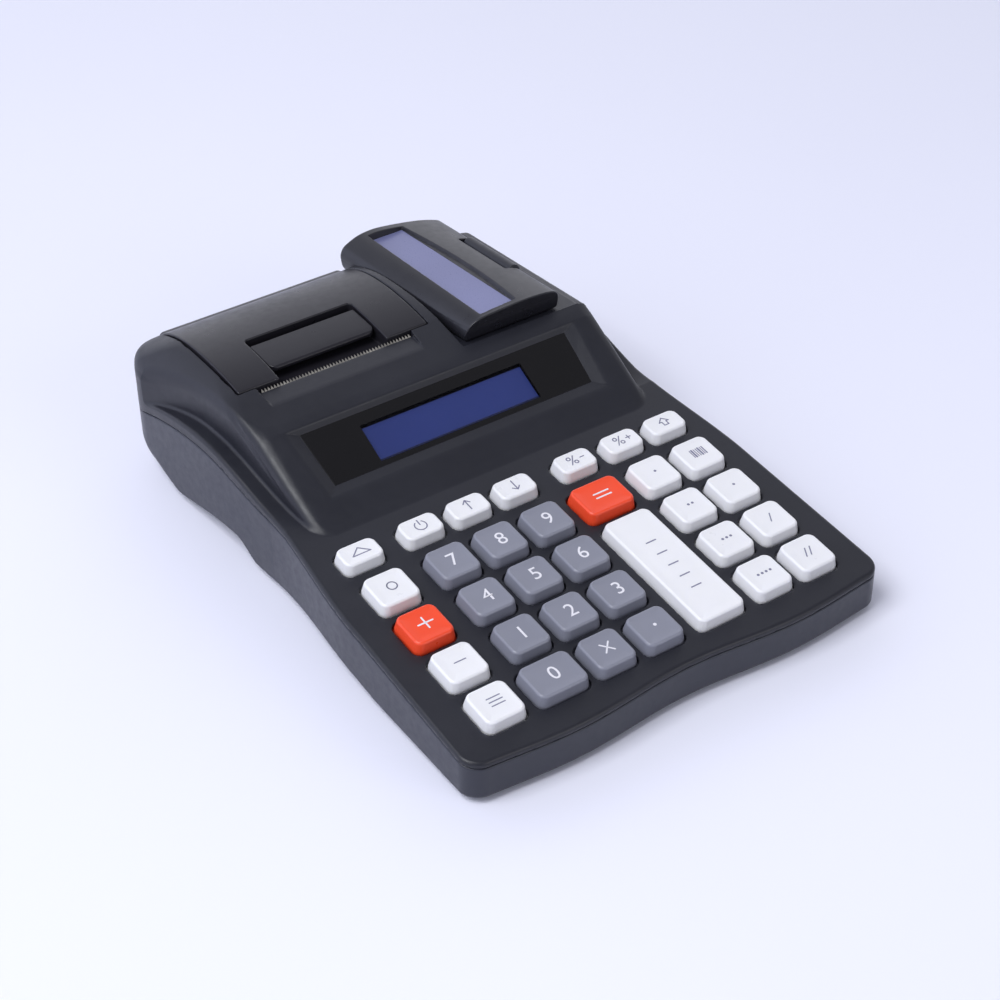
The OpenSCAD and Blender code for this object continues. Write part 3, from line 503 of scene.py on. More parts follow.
def mesh_of(name, verts, faces, mats, smooth=True, normals=None, place=None):
    """object from points in millimetres; faces is an array of quads, or a list of index tuples"""
    me = bpy.data.meshes.new(name)
    v = np.asarray(verts, float)
    if place is not None:
        v = place(v)
    v = v / 1000.0
    if isinstance(faces, np.ndarray):
        n, k = faces.shape
        me.vertices.add(len(v))
        me.vertices.foreach_set("co", v.astype(F32).ravel())
        me.loops.add(n * k)
        me.loops.foreach_set("vertex_index", faces.astype(np.int32).ravel())
        me.polygons.add(n)
        me.polygons.foreach_set("loop_start", np.arange(0, n * k, k, dtype=np.int32))
        me.update(calc_edges=True)
        me.validate()
    else:
        me.from_pydata([tuple(p) for p in v], [], faces)
        me.update()
    me.polygons.foreach_set("use_smooth", np.full(len(me.polygons), smooth))
    for mt in mats:
        me.materials.append(mt)
    o = bpy.data.objects.new(name, me)
    sc.collection.objects.link(o)
    if normals is not None:
        me.normals_split_custom_set_from_vertices([tuple(q) for q in normals])
    return o


def applied(o):
    """the object with its modifiers applied"""
    dg = bpy.context.evaluated_depsgraph_get()
    new = bpy.data.meshes.new_from_object(o.evaluated_get(dg))
    old = o.data
    o.modifiers.clear()
    o.data = new
    new.name = old.name + "_m"
    return o


def shell(name, f, lo, hi, h, mats, keep=1.0, place=None, turn_n=None, whole=None):
    """a piece from its field: surface, thinned where it is flat, with the field's own normals"""
    P, Q = nets(f, lo, hi, h)
    o = mesh_of(name, P, Q, mats)
    if keep < 1:
        md = o.modifiers.new("thin", "DECIMATE")
        md.ratio = keep
        applied(o)
        n = len(o.data.vertices)
        co = np.zeros(n * 3, F32)
        o.data.vertices.foreach_get("co", co)
        P = onto(f, co.reshape(-1, 3).astype(float) * 1000, 0.3, 2)
    N = slope(f, P, 0.12)
    if whole is not None:
        # the joint between two halves is too fine to see, so the skin there is shaded as one
        skin = (np.abs(whole(P[:, 0], P[:, 1], P[:, 2])) < 0.12) & (np.abs(P[:, 2]) < 0.7) & (np.abs(P[:, 1]) > 15.9)
        skin |= (np.abs(whole(P[:, 0], P[:, 1], P[:, 2])) < 0.12) & (np.abs(P[:, 2]) < 0.7) & (P[:, 0] < -10)
        N[skin] = slope(whole, P[skin], 0.12)
    N /= np.maximum(np.linalg.norm(N, axis=1), 1e-9)[:, None]
    if place is not None:
        P = place(P)
        N = turn_n(N)
    o.data.vertices.foreach_set("co", (P / 1000).astype(F32).ravel())
    o.data.polygons.foreach_set("use_smooth", np.full(len(o.data.polygons), True))
    o.data.update()
    o.data.normals_split_custom_set_from_vertices([tuple(q) for q in N])
    return o


# ------------------------------------------------------------------ lines of the case, in millimetres
TAN66 = math.tan(R(6.6))
yf, yr = -115.0, 115.0


def deck(y):
    return 25.4 + (y + 38.5) * TAN66


def rim(y):
    d4 = 25.4 + 42.5 * TAN66
    return np.where(y < 4, deck(y), np.where(y < 56, d4 + (38.2 - d4) * ss((y - 4) / 52), 38.2 - 5.5 * ((y - 56) / 38) ** 2))


def seam(y):
    return rim(np.minimum(y, 102)) - 2.3 - 2.1 * ss(y / 40) - 0.10 * np.maximum(0, y - 102)


def half(y):
    return np.where(y < -45, 83.3 + (y + 115) * (81.8 - 83.3) / 70,
                    np.where(y < 14, 81.8 + (77.1 - 81.8) * ss((y + 45) / 59), 77.1 + 4.1 * (y - 14) / 101))


HALF97 = 77.1 + 4.1 * 83 / 101


def hood_half(y):
    return np.where(y < 58, 69.6 + 3 * (y - 2) / 56,
                    np.where(y < 97, 72.6 + (HALF97 - 72.6) * (np.maximum(y - 58, 0) / 39) ** 1.8, half(y)))


def skirt(y):
    a = 2 + 3 * np.sin(np.pi * np.clip((y + 60) / 78, 0, 1))
    b = np.where(y < 38, 2 + 5.6 * ss((y - 24) / 14), 7.6 - 5.6 * ss((y - 40) / 52))
    return np.where(y < 18, a, b)


def case_plan(x, y):
    front = yf + 1.4 + 1.4 * np.cos(2 * np.pi * np.clip(x, -80, 80) / 88)
    return rint(rint(np.abs(x) - half(y), front - y, 7), y - yr, 18.5)


def hood_plan(x, y):
    return rint(rint(np.abs(x) - hood_half(y), -6.2 - y, 8), y - yr, 18.5)


def frame_of(y, z, oy, oz, deg):
    c, s = math.cos(R(deg)), math.sin(R(deg))
    return (y - oy) * c + (z - oz) * s, -(y - oy) * s + (z - oz) * c


def bez(t):
    p = [(53, 54.2), (75, 58.5), (113, 58), (115, 38)]
    k = [(1 - t) ** 3, 3 * t * (1 - t) ** 2, 3 * t * t * (1 - t), t ** 3]
    return sum(a * b[0] for a, b in zip(k, p)), sum(a * b[1] for a, b in zip(k, p))


TOPZ = 29.1 + 36.5 * math.tan(R(28.1))
hood_line = [(-9.2, 29.1 - 3 * math.tan(R(28.1))), (30.3, TOPZ)] + [bez(t / 60) for t in range(61)]
T_side = Outline(hood_line + [(115, 12), (-9.2, 12)], 0.25)
sh = smooth_line([(80, 44), (77.5, 47), (74.6, 49.6), (71.6, 51.9), (68, 53.9), (64, 55.2), (56, 56), (40, 57)], 8)
T_shoulder = Outline([(92, 0), (92, 40)] + sh + [(20, 57.6), (-20, 57.6), (-20, 0)], 0.25)
bw = smooth_line([(95, -16), (74, -7), (71.2, -3.8), (69.8, -2), (67.8, -0.7), (65.5, 0.1), (60, 0.4)], 8)
T_brow = Outline([(120, -60), (95, -16)] + bw[1:] + [(-20, 0.4), (-20, -60)], 0.25, 3.0)
T_edge = Outline([(10.4, -6.3), (12.4, -6.8), (13.9, -8), (15.2, -10), (19.6, -14.3), (27, -21.5), (40, -21.5), (40, 20), (10.4, 20)], 0.2)

# keys: x, y on the deck, width, depth, node, colour
c0, c1, c2, c3, c4, c5, c6 = -63, -39.4, -20.4, -1.4, 21.4, 44, 63
r0, r1, r2, r3, r4 = 19, 0, -19.4, -38.8, -58.2
KW, KD, KWW, KS = 14.5, 14.6, 18.5, 9.4
KEYS = [
    (c0, r0, KW, KS, "key_feed", "white"), (c1, r0, KW, KS, "key_power", "white"), (c2, r0, KW, KS, "key_up", "white"),
    (c3, r0, KW, KS, "key_down", "white"), (24, r0, KW, KS, "key_percent_minus", "white"), (c5, r0, KW, KS, "key_percent_plus", "white"),
    (c6, r0, KW, KS, "key_shift", "white"),
    (c0, r1, KW, KD, "key_clear", "white"), (c1, r1, KW, KD, "key_7", "grey"), (c2, r1, KW, KD, "key_8", "grey"), (c3, r1, KW, KD, "key_9", "grey"),
    (c4, r1, KWW, KD, "key_subtotal", "orange"), (c5, r1, KW, KD, "key_dept_1", "white"), (c6, r1, KW, KD, "key_barcode", "white"),
    (c0, r2, KW, KD, "key_price", "orange"), (c1, r2, KW, KD, "key_4", "grey"), (c2, r2, KW, KD, "key_5", "grey"), (c3, r2, KW, KD, "key_6", "grey"),
    (c4, r3, KWW, 53.4, "key_total", "white"), (c5, r2, KW, KD, "key_dept_2", "white"), (c6, r2, KW, KD, "key_decimal", "white"),
    (c0, r3, KW, KD, "key_void", "white"), (c1, r3, KW, KD, "key_1", "grey"), (c2, r3, KW, KD, "key_2", "grey"), (c3, r3, KW, KD, "key_3", "grey"),
    (c5, r3, KW, KD, "key_dept_3", "white"), (c6, r3, KW, KD, "key_pay_1", "white"),
    (c0, r4, KW, KD, "key_lookup", "white"), (-41.1, r4, KWW, KD, "key_0", "grey"), (c2, r4, KW, KD, "key_multiply", "grey"),
    (c3, r4, KW, KD, "key_point", "grey"), (c5, r4, KW, KD, "key_dept_4", "white"), (c6, r4, KW, KD, "key_pay_2", "white")]
SCREWS = [(-76.2, -99, 8, 15.6), (76.2, -99, 8, 15.6), (-71.5, 99.5, 18, 30), (71.5, 99.5, 18, 30)]
FEET = [(-64, -98), (64, -98), (-58, 97), (58, 97)]


class Holes(Outline):
    """all key holes on the deck, tabulated over x and y"""

    def __init__(self, step=0.15):
        lo, hi = np.array([-76.0, -72.0]), np.array([76.0, 32.0])
        self.lo, self.step = lo, step
        self.n = np.ceil((hi - lo) / step).astype(int) + 1
        u = lo[0] + step * np.arange(self.n[0])[:, None]
        v = lo[1] + step * np.arange(self.n[1])[None, :]
        t = np.full((self.n[0], self.n[1]), 50.0)
        rad = 3.3
        for k in KEYS:
            qx = np.abs(u - k[0]) - (k[2] / 2 + 1.05 - rad)
            qy = np.abs(v - k[1]) - (k[3] / 2 + 1.05 - rad)
            t = np.minimum(t, np.sqrt(np.maximum(qx, 0) ** 2 + np.maximum(qy, 0) ** 2) + np.minimum(np.maximum(qx, qy), 0) - rad)
        self.t, self.t32 = t, t.astype(F32)


T_holes = Holes()

# planes of the bevelled recess round the operator display, in the panel's frame
GLASS = [(54.0, 17.05), (55.75, 39.3)]       # half width and place of the pane's front and rear edge, 1.8 below the panel
OUTER = [(59.0, 12.0), (61.8, 41.45)]        # the same where the bevels meet the panel


def bevel_at(z):
    """corners of the bevels at height z of the panel's frame"""
    t = -z / 1.8
    (a, ya), (b, yb) = [tuple(o[k] + (g[k] - o[k]) * t for k in (0, 1)) for o, g in zip(OUTER, GLASS)]
    return [(-a, ya, z), (a, ya, z), (b, yb, z), (-b, yb, z)]


rp = bevel_at(0.4) + bevel_at(-3.3)
recess_planes = []
for a in range(8):
    for b in range(a + 1, 8):
        for c in range(b + 1, 8):
            A, B, C = (np.array(rp[k]) for k in (a, b, c))
            n = np.cross(B - A, C - A)
            n /= np.linalg.norm(n)
            dist = [(np.array(q) - A) @ n for q in rp]
            if max(dist) < 1e-6 or min(dist) > -1e-6:
                n = n if max(dist) < 1e-6 else -n
                if n[2] < 0.99 and not any(np.allclose(n, q[0]) for q in recess_planes):
                    recess_planes.append((n, float(A @ n)))


def bay_x(y):
    return 17.4 - (y - 38) * 0.043


def upper_block(x, y, z):
    """the upper case as a solid block, before it is hollowed"""
    k = 1 / np.sqrt(1 + np.where(y < 4, TAN66, 0.12) ** 2)
    base = rint(case_plan(x, y), (z - rim(np.minimum(y, 98))) * k, 1.3)
    yp, zp = frame_of(y, z, -6.2, 29.1, 28.1)
    hood = rint(rint(T_side(y, z), T_shoulder(np.abs(x), z), 2.0 + 4.5 * ss((y - 90) / 16)), hood_plan(x, y), 2.6)
    hood = rint(hood, T_brow(np.abs(x), zp), 1.5)
    s = np.maximum(runi(base, hood, 1.3), case_plan(x, y))
    yl, zl = frame_of(y, z, 78, 52.9, -4)
    bay = rint(rint(bay_x(y) - x, 37.4 - y, 0.5), -6.3 - zl, 0.6)
    s = rcut(s, bay, 0.4)
    return rcut(s, np.maximum(T_edge(x - 57.4, zl), -40.6 - yl), 0.6)


def upper_case(x, y, z):
    s = upper_block(x, y, z)
    d = np.maximum(s, -(s + 2.2))
    d = rint(d, seam(y) + 0.12 - z, 0.45)
    # rib between the printer and the shelf, and the ears of the cover's pin
    for lo, hi in (((12.4, 50, 36), (17.6, 116, 70)), ((-71, 101, 38), (-65.4, 116, 60))):
        d = np.minimum(d, rint(s, bx(x, y, z, lo, hi, 0.3), 0.3))
    op = np.minimum(bx(x, y, z, (-65.4, 52.3, 33), (12.4, 106.4, 90), 0.2), bx(x, y, z, (-65.4, 60, 40.9), (12.4, 120, 90), 0.2))
    rod = np.maximum(np.sqrt((y - 110) ** 2 + (z - 44.8) ** 2) - 3.7, np.abs(x + 26.5) - 38.9)
    d = rcut(d, np.minimum(op, rod), 0.35)
    # bar behind the tear edge
    d = np.minimum(d, rint(T_side(y, z), bx(x, y, z, (-63, 42, 46.5), (10.5, 52.3, 60), 0.2), 0.3))
    d = rcut(d, rint(T_seat(y, z), np.abs(x + 26.8) - 31.2 - (y - 46) * 0.06, 0.3), 0.25)
    # knuckle of the customer display
    yl, zl = frame_of(y, z, 78, 52.9, -4)
    xl = x - 57.4
    kn = rint(np.sqrt(xl ** 2 + zl ** 2) - 2.9, np.abs(yl) - 15, 0.5)
    kn = runi(kn, np.maximum(np.maximum(np.abs(xl) - 2.4, np.abs(yl) - 15), np.maximum(zl, -7.5 - zl)), 0.6)
    d = runi(d, kn, 0.5)
    d = np.maximum(d, -np.maximum(np.sqrt(xl ** 2 + zl ** 2) - 1.35, np.abs(yl) - 16))
    # screw bosses
    for q in SCREWS:
        r = np.sqrt((x - q[0]) ** 2 + (y - q[1]) ** 2)
        d = np.minimum(d, np.maximum(np.maximum(r - 3.3, q[2] - z), np.maximum(s + 0.6, z - 40)))
        d = np.maximum(d, -np.maximum(r - 1.5, z - q[3] - 0.3))
    # key holes
    yd, zd = frame_of(y, z, -38.5, 25.4, 6.6)
    d = rcut(d, np.maximum(T_holes(x, yd), np.abs(zd) - 10), 0.35)
    # recess and window seat of the operator display
    yp, zp = frame_of(y, z, -6.2, 29.1, 28.1)
    d = np.minimum(d, np.maximum(s, bx(x, yp, zp, (-65, 8.5, -4.6), (65, 44.5, 2), 0.3)))
    rec = -3.3 - zp
    for n, off in recess_planes:
        rec = np.maximum(rec, (x * n[0] + yp * n[1] + zp * n[2]) - off)
    d = rcut(d, rec, 0.45)
    return np.maximum(d, -bx(x, yp, zp, (-44, 18.2, -12), (44, 38.4, -3.2)))


T_seat = Outline([(42.0, 51.55), (50.9, 52.05), (51.0, 50.9), (54, 50.9), (54, 58), (42.0, 58)], 0.2)


def lower_block(x, y, z):
    front = yf + 1.4 + 1.4 * np.cos(2 * np.pi * np.clip(x, -80, 80) / 88)
    p = rint(rint(np.abs(x) - half(y), front - y, 7), y - yr, 18.5)
    bottom = 1.6 + 11.4 * ss((y - 72) / 34)
    k = 1 / np.sqrt(1 + 0.11 ** 2)
    d = rint(p, (z - (seam(y) - 0.12)) * k, 0.5)
    d = rint(d, 2 - z, bottom)
    arch = np.maximum(np.maximum((z - skirt(y)), 74 - np.abs(x)), np.abs(y - 17) - 79)
    return rcut(d, arch, 1.0)


def lower_case(x, y, z):
    p = case_plan(x, y)
    bottom = 2.0 + 9 * ss((y - 72) / 34)
    inner = rint(p + 2.5, 4.5 - z, bottom)
    arch = np.maximum(np.maximum(z - skirt(y) - 2.6, 71.4 - np.abs(x)), np.abs(y - 17) - 81)
    inner = np.maximum(inner, -arch)
    d = rcut(lower_block(x, y, z), inner, 0.3)
    blk = p + 0.4
    for q in SCREWS:
        r = np.sqrt((x - q[0]) ** 2 + (y - q[1]) ** 2)
        d = np.minimum(d, np.maximum(np.maximum(r - 3.6, np.maximum(z - q[2] + 0.05, 4 - z)), blk))
    rr = np.sqrt((y - 86) ** 2 + (z - 27.5) ** 2)
    tr = np.maximum(np.maximum(np.abs(rr - 23.4) - 0.9, np.abs(x + 26.5) - 31.5), np.maximum(z - 27.5, 4.2 - z))
    d = np.minimum(d, tr)
    for x0 in (-60, 5):
        side = np.maximum(bx(x, y, z, (x0, 62, 4.2), (x0 + 2, 108, 36), 0.3), np.abs(y - 86) + (z - 36) * 1.0 - 20)
        d = np.minimum(d, side)
    for lo, hi in (((-50, 44, 4.2), (-46, 54, 13.9)), ((-6, 44, 4.2), (-2, 54, 13.9)), ((-68, -34, 4.2), (-64, -30, 14.7)), ((64, -34, 4.2), (68, -30, 14.7)),
                   ((-68, -86, 4.2), (-64, -82, 8.7)), ((64, -86, 4.2), (68, -82, 8.7))):
        d = np.minimum(d, bx(x, y, z, lo, hi, 0.2))
    for q in SCREWS:
        r = np.sqrt((x - q[0]) ** 2 + (y - q[1]) ** 2)
        d = np.maximum(d, -np.maximum(r - 1.7, z - 40))
        d = rcut(d, np.maximum(r - 3.1, z - 5.5), 0.25)
    for q in FEET:
        d = rcut(d, np.maximum(np.sqrt((x - q[0]) ** 2 + (y - q[1]) ** 2) - 6.1, z - 3.5), 0.2)
    for x0 in (28, 45):
        d = np.maximum(d, -bx(x, y, z, (x0 - 6.3, 100.5, 8.7), (x0 + 6.3, 118, 20.3)))
    rj = np.sqrt((x - 60) ** 2 + (z - 14.5) ** 2)
    d = np.maximum(d, -np.maximum(rj - 4, 100 - y))
    return np.maximum(d, -np.maximum(rj - 5, 113.9 - y))


T_cover = Outline([bez(t / 60) for t in range(61)] + [(115, 34), (50, 34), (50, 53.55)], 0.2)
RX0, RX1 = -48.8, -5.2


def printer_cover(x, y, z):
    ends = np.abs(x + 26.5) - 38.5
    top = T_cover(y, z)
    c = rint(rint(rint(top, ends, 0.45), 52.5 - y, 0.45), y - 110.5, 0.5)
    rr = np.sqrt((y - 110) ** 2 + (z - 44.8) ** 2)
    c = runi(c, rint(rr - 3.3, ends, 2.2), 0.6)
    hollow = np.maximum(np.maximum(ends + 2.2, top + 2.2), np.maximum(54.8 - y, y - 106.1))
    c = rcut(c, hollow, 0.3)
    c = np.maximum(c, -np.maximum(np.maximum(106 - y, z - 44.8), 3.3 - rr))
    c = np.maximum(c, -np.maximum(y - 66, z - 48.7))
    c = np.maximum(c, -np.maximum(60 - y, np.maximum(z - 43, y - 106)))
    boxr = rint(np.maximum(np.maximum(np.abs(x + 27) - 23.4, np.abs(y - 65.5) - 13.1), 48.3 - z), top, 0.3)
    c = np.minimum(c, boxr)
    for x0 in (-59.1, 4.3):
        c = np.minimum(c, bx(x, y, z, (x0, 53.4, 40.5), (x0 + 1.8, 64, 53.3), 0.3))
    # finger recess, its rear corners rounded in plan
    rec = rint(np.abs(x + 27) - 21.8, y - 77, 1.6)
    floor_z = np.maximum(49.5 - z, 0) * 0 + (49.5 - z)
    rec = rint(rec, floor_z, 0.8)
    c = rcut(c, rec, 0.45)
    c = np.maximum(c, -np.maximum(np.sqrt((y - 71.5) ** 2 + (z - 53.2) ** 2) - 1.25, np.abs(x + 27) - 22.95))
    c = np.maximum(c, -np.maximum(np.sqrt((y - 57.5) ** 2 + (z - 43.5) ** 2) - 2.05, np.abs(x + 26.5) - 33.5))
    return np.maximum(c, -(rr - 1.3))


T_lever = Outline(smooth_line([(59.2, 52.4), (62, 52.9), (69.6, 53.4)], 4) + [(70.2, 51.6), (72.8, 51.6), (73.8, 53), (73.8, 55.4)]
                  + smooth_line([(73.8, 55.4), (70, 55.3), (66, 55.1), (62, 54.8), (59.4, 54.5)], 4) + [(58.5, 54.0), (58.5, 53.0)], 0.12, 2.0)


def release_lever(x, y, z):
    e = np.abs(x + 27) - 21.3
    d = rint(rint(e, 58.5 - y, 3.4), T_lever(y, z), 0.35)
    pv = np.maximum(np.sqrt((y - 71.5) ** 2 + (z - 53.2) ** 2) - 1.2, np.abs(x + 27) - 22.9)
    return np.minimum(d, pv)


# ---- customer display, in its own frame: x across, y along the hinge, z up
pf = [(-36.8, -5.9), (-37.9, -4.8), (-37.8, -2.4), (-36.2, 0.5), (-32.6, 2.5), (-28, 3.1), (-21.3, 3.5), (-13.7, 3.8), (-7, 3.5), (-1.2, 2.7), (1.4, 1.4), (2.5, -0.6), (2.7, -2.8), (2.6, -5.3), (1.4, -5.9),
      (-0.4, -5.9), (-3.5, -5.9), (-9, -5.9), (-18, -5.9), (-27, -5.9), (-32, -5.9), (-34.8, -5.9)]
pr = [(-41, -5.9), (-42.8, -4.2), (-43.4, -1.5), (-43.4, 1.2), (-42, 3.7), (-39.6, 5.1), (-35.2, 6.7), (-30.3, 7.3), (-25, 7.1), (-14.5, 5.6), (-7, 4.1), (-1.6, 2.5), (1.1, 1.3), (2.2, -0.6), (2.4, -2.8), (2.2, -5.3), (1.0, -5.9),
      (-0.8, -5.9), (-4, -5.9), (-10, -5.9), (-20, -5.9), (-30, -5.9), (-36, -5.9), (-39, -5.9)]


def closed_smooth(p, n=5):
    q = [p[-2], p[-1]] + list(p) + [p[0], p[1]]
    s = smooth_line(q, n)
    return s[2 * n:-2 * n - 1 + 1][:len(p) * n]


BOX_POD = ((-50, -12), (8, 12))
T_pf = Outline(closed_smooth(pf), 0.15, box=BOX_POD)
T_pr = Outline(closed_smooth(pr), 0.15, box=BOX_POD)


def pod_block(x, y, z):
    t = np.clip((y + 38.8) / 75.2, 0, 1)
    s = T_pf(x, z) * (1 - t) + T_pr(x, z) * t
    return rint(rint(s, (-40.2 - y + 0.28 * (2.7 - z)) * 0.963, 0.4), y - 37.93, 1.8)


def pane_z(y):
    """top of the customer window: it rises a little toward the rear"""
    return 2.5 + (y + 38) * 0.030


def pane_x(y):
    """how far the window leans to the left toward the rear"""
    return -(y + 38) * 0.028


def pod_front(x, y, z):
    d = np.maximum(pod_block(x, y, z), -0.4 - z)
    notch = rint(-4 - x, np.abs(y) - 15.4, 0.6)
    d = rcut(d, notch, 0.5)
    d = np.maximum(d, -bx(x, y, z, (-33.6, -36, -1), (-6, 34, 0.6)))
    # recess with its sloped right wall, open to the screen below
    u, w = x - pane_x(y), z - pane_z(y)
    wall = u + 15.9 - 2.4 * np.clip(1 - ((y + 2.2) / 35.6) ** 2, 0, 1) - np.maximum(w, 0) * 0.5
    ledge = 1.2 - 1.14 * ss((u + 16.15) / 0.25)
    rec = rint(rint(-30.6 - u, wall, 0.25), np.maximum(y - 33.4 - np.maximum(w, 0) * 0.1, -37.7 - y), 0.4)
    d = rcut(d, np.maximum(rec, -ledge - w), 0.2)
    d = np.maximum(d, -bx(x, y, z, (-30.5, -36.0, -1), (-17.8, 32.8, 5)))
    return np.maximum(d, -(np.maximum(np.sqrt(x * x + z * z) - 1.25, np.abs(y) - 24.2)))


def pod_back(x, y, z):
    d = np.maximum(pod_block(x, y, z) + 0.05 * ss((z + 1.2) / 0.6), z + 0.01)
    notch = rint(-4 - x, np.abs(y) - 15.4, 0.6)
    d = rcut(d, notch, 0.5)
    d = np.maximum(d, -bx(x, y, z, (-33.6, -36, -4.3), (-6, 34, 1)))
    return np.maximum(d, -(np.maximum(np.sqrt(x * x + z * z) - 1.25, np.abs(y) - 24.2)))


def placed(oy, oz, deg, ox=0.0):
    c, s = math.cos(R(deg)), math.sin(R(deg))

    def pos(v):
        return np.stack([v[:, 0] + ox, oy + v[:, 1] * c - v[:, 2] * s, oz + v[:, 1] * s + v[:, 2] * c], 1)

    def nrm(v):
        return np.stack([v[:, 0], v[:, 1] * c - v[:, 2] * s, v[:, 1] * s + v[:, 2] * c], 1)
    return pos, nrm


on_deck, deck_n = placed(-38.5, 25.4, 6.6)
on_panel, panel_n = placed(-6.2, 29.1, 28.1)
on_pod, pod_n = placed(78, 52.9, -4, 57.4)


def finish_piece(o, body, node):
    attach(o, body)
    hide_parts(node)
    return o


H = 0.6
finish_piece(shell("upper_case_shell", upper_case, (-85, -117, 6), (85, 117, 60), H, [M["upper"]], 0.34), "register", "upper_case")
finish_piece(shell("lower_case_shell", lower_case, (-85, -117, 0.6), (85, 117, 37.5), H, [M["lower"]], 0.27), "register", "lower_case")
finish_piece(shell("printer_cover_shell", printer_cover, (-66.5, 51, 39), (13.5, 115.5, 59), 0.4, [M["cover"]], 0.45), "cover", "printer_cover")
finish_piece(shell("release_lever_plate", release_lever, (-51, 57, 50.5), (-3, 75, 56.5), 0.3, [M["cover"]], 0.6), "lever", "release_lever")
finish_piece(shell("customer_display_top", pod_front, (-45, -42, -1), (4, 39.5, 9), 0.35, [M["pod"]], 0.5, on_pod, pod_n, pod_block),
             "customer_display", "customer_display_front")
finish_piece(shell("customer_display_bottom", pod_back, (-45, -42, -7), (4, 39.5, 1), 0.4, [M["pod"]], 0.5, on_pod, pod_n, pod_block),
             "customer_display", "customer_display_back")


# ------------------------------------------------------------------ keys
def ring(w, d, r, z, n=10):
    """rounded rectangle of half sizes w, d as a loop of 4n points"""
    r = min(r, w, d)
    out = []
    for q, (sx, sy) in enumerate(((1, 1), (-1, 1), (-1, -1), (1, -1))):
        for k in range(n):
            a = math.pi / 2 * (q + k / (n - 1))
            out.append((sx * (w - r) + r * math.cos(a), sy * (d - r) + r * math.sin(a), z))
    return out


def loft(rings, cap=True):
    n = len(rings[0])
    v = [p for g in rings for p in g]
    f = []
    for i in range(len(rings) - 1):
        for k in range(n):
            j = (k + 1) % n
            f.append((i * n + k, i * n + j, (i + 1) * n + j, (i + 1) * n + k))
    if cap:
        for g, flip in ((0, True), (len(rings) - 1, False)):
            cen = np.mean(rings[g], 0)
            v.append(tuple(cen))
            for k in range(n):
                j = (k + 1) % n
                t = (g * n + k, g * n + j, len(v) - 1)
                f.append(t[::-1] if flip else t)
    return v, f


RISE, DISH = 3.9, 0.28


def key_top(x, y, w, d):
    """height of the dished top of a key of half sizes w, d"""
    t = min(1.0, max(0.0, (min(w - abs(x), d - abs(y)) - 0.8) / 3.4))
    return RISE - DISH * (1 - (1 - t) ** 2)


def keycap(w, d):
    w, d = w / 2, d / 2
    g = [ring(2.5, 2.5, 2.5, -5.3), ring(2.5, 2.5, 2.5, -4.9), ring(2.5, 2.5, 2.5, 2.3)]
    g += [ring(w - 1.5, d - 1.5, 1.6, 2.3), ring(w - 1.2, d - 1.2, 1.8, 2.0), ring(w - 1.2, d - 1.2, 1.8, -3.45)]
    g += [ring(w - 1.15, d - 1.15, 1.8, -3.5), ring(w + 1.7, d + 1.65, 0.6, -3.5), ring(w + 1.75, d + 1.7, 0.6, -3.45), ring(w + 1.75, d + 1.7, 0.6, -2.4)]
    g += [ring(w + 1.7, d + 1.65, 0.6, -2.35), ring(w + 0.52, d + 0.52, 2.9, -2.35), ring(w + 0.5, d + 0.5, 2.9, -2.3)]
    g += [ring(w + 0.5, d + 0.5, 2.9, -0.6), ring(w + 0.5, d + 0.5, 2.9, 0)]
    for t in (0.25, 0.5, 0.75, 0.93):
        g.append(ring(w + 0.5 * (1 - t), d + 0.5 * (1 - t), 2.9 - 0.2 * t, 2.85 * t))
    for a in (0, 12, 24, 36, 48, 60, 70, 80):
        a = R(a)
        g.append(ring(w - 0.95 * (1 - math.cos(a)), d - 0.95 * (1 - math.cos(a)), 2.7 - 0.5 * (1 - math.cos(a)), 2.85 + 1.05 * math.sin(a)))
    for s in (1.0, 1.25, 1.6, 2.1, 2.8, 3.6, 4.4):
        if min(w, d) - s > 0.25:
            q = ring(w - s, d - s, max(0.15, 2.3 - s * 0.55), 0)
            g.append([(x, y, key_top(x, y, w, d)) for x, y, _ in q])
    v, f = loft(g)
    v[-1] = (v[-1][0], v[-1][1], key_top(v[-1][0], v[-1][1], w, d))
    return v, f


def strokes(lines, width):
    """flat ink from polylines: quads along each line with round joints"""
    v, f = [], []
    for ln in lines:
        pts = [np.array(p, float) for p in ln]
        for i in range(len(pts) - 1):
            a, b = pts[i], pts[i + 1]
            d = (b - a) / np.linalg.norm(b - a)
            n = np.array([-d[1], d[0]]) * width / 2
            a1, b1 = a, b
            left, right = [], []
            for k in range(7):
                t = math.pi * k / 6
                right.append(b1 + n * math.cos(t) * -1 * -1 + d * math.sin(t) * width / 2)
            for k in range(7):
                t = math.pi * k / 6
                left.append(a1 - n * math.cos(t) - d * math.sin(t) * width / 2)
            loop = right + left
            s = len(v)
            v += [tuple(q) for q in loop]
            f.append(tuple(range(s + len(loop) - 1, s - 1, -1)))
    return v, f


def disc(x, y, r, n=20):
    return [(x + r * math.cos(2 * math.pi * k / n), y + r * math.sin(2 * math.pi * k / n)) for k in range(n)], [tuple(range(n))]


def text_shape(body, size):
    """outline of plain figures as flat points and faces"""
    cu = bpy.data.curves.new("figure", "FONT")
    cu.body, cu.size, cu.align_x, cu.align_y = body, size, "CENTER", "CENTER"
    cu.resolution_u = 4
    o = bpy.data.objects.new("figure", cu)
    sc.collection.objects.link(o)
    dg = bpy.context.evaluated_depsgraph_get()
    me = bpy.data.meshes.new_from_object(o.evaluated_get(dg))
    v = [(p.co.x, p.co.y) for p in me.vertices]
    f = [tuple(p.vertices) for p in me.polygons]
    bpy.data.objects.remove(o)
    bpy.data.curves.remove(cu)
    bpy.data.meshes.remove(me)
    if v:
        cx, cy = (max(p[0] for p in v) + min(p[0] for p in v)) / 2, (max(p[1] for p in v) + min(p[1] for p in v)) / 2
        v = [(x - cx, y - cy) for x, y in v]
    return v, f


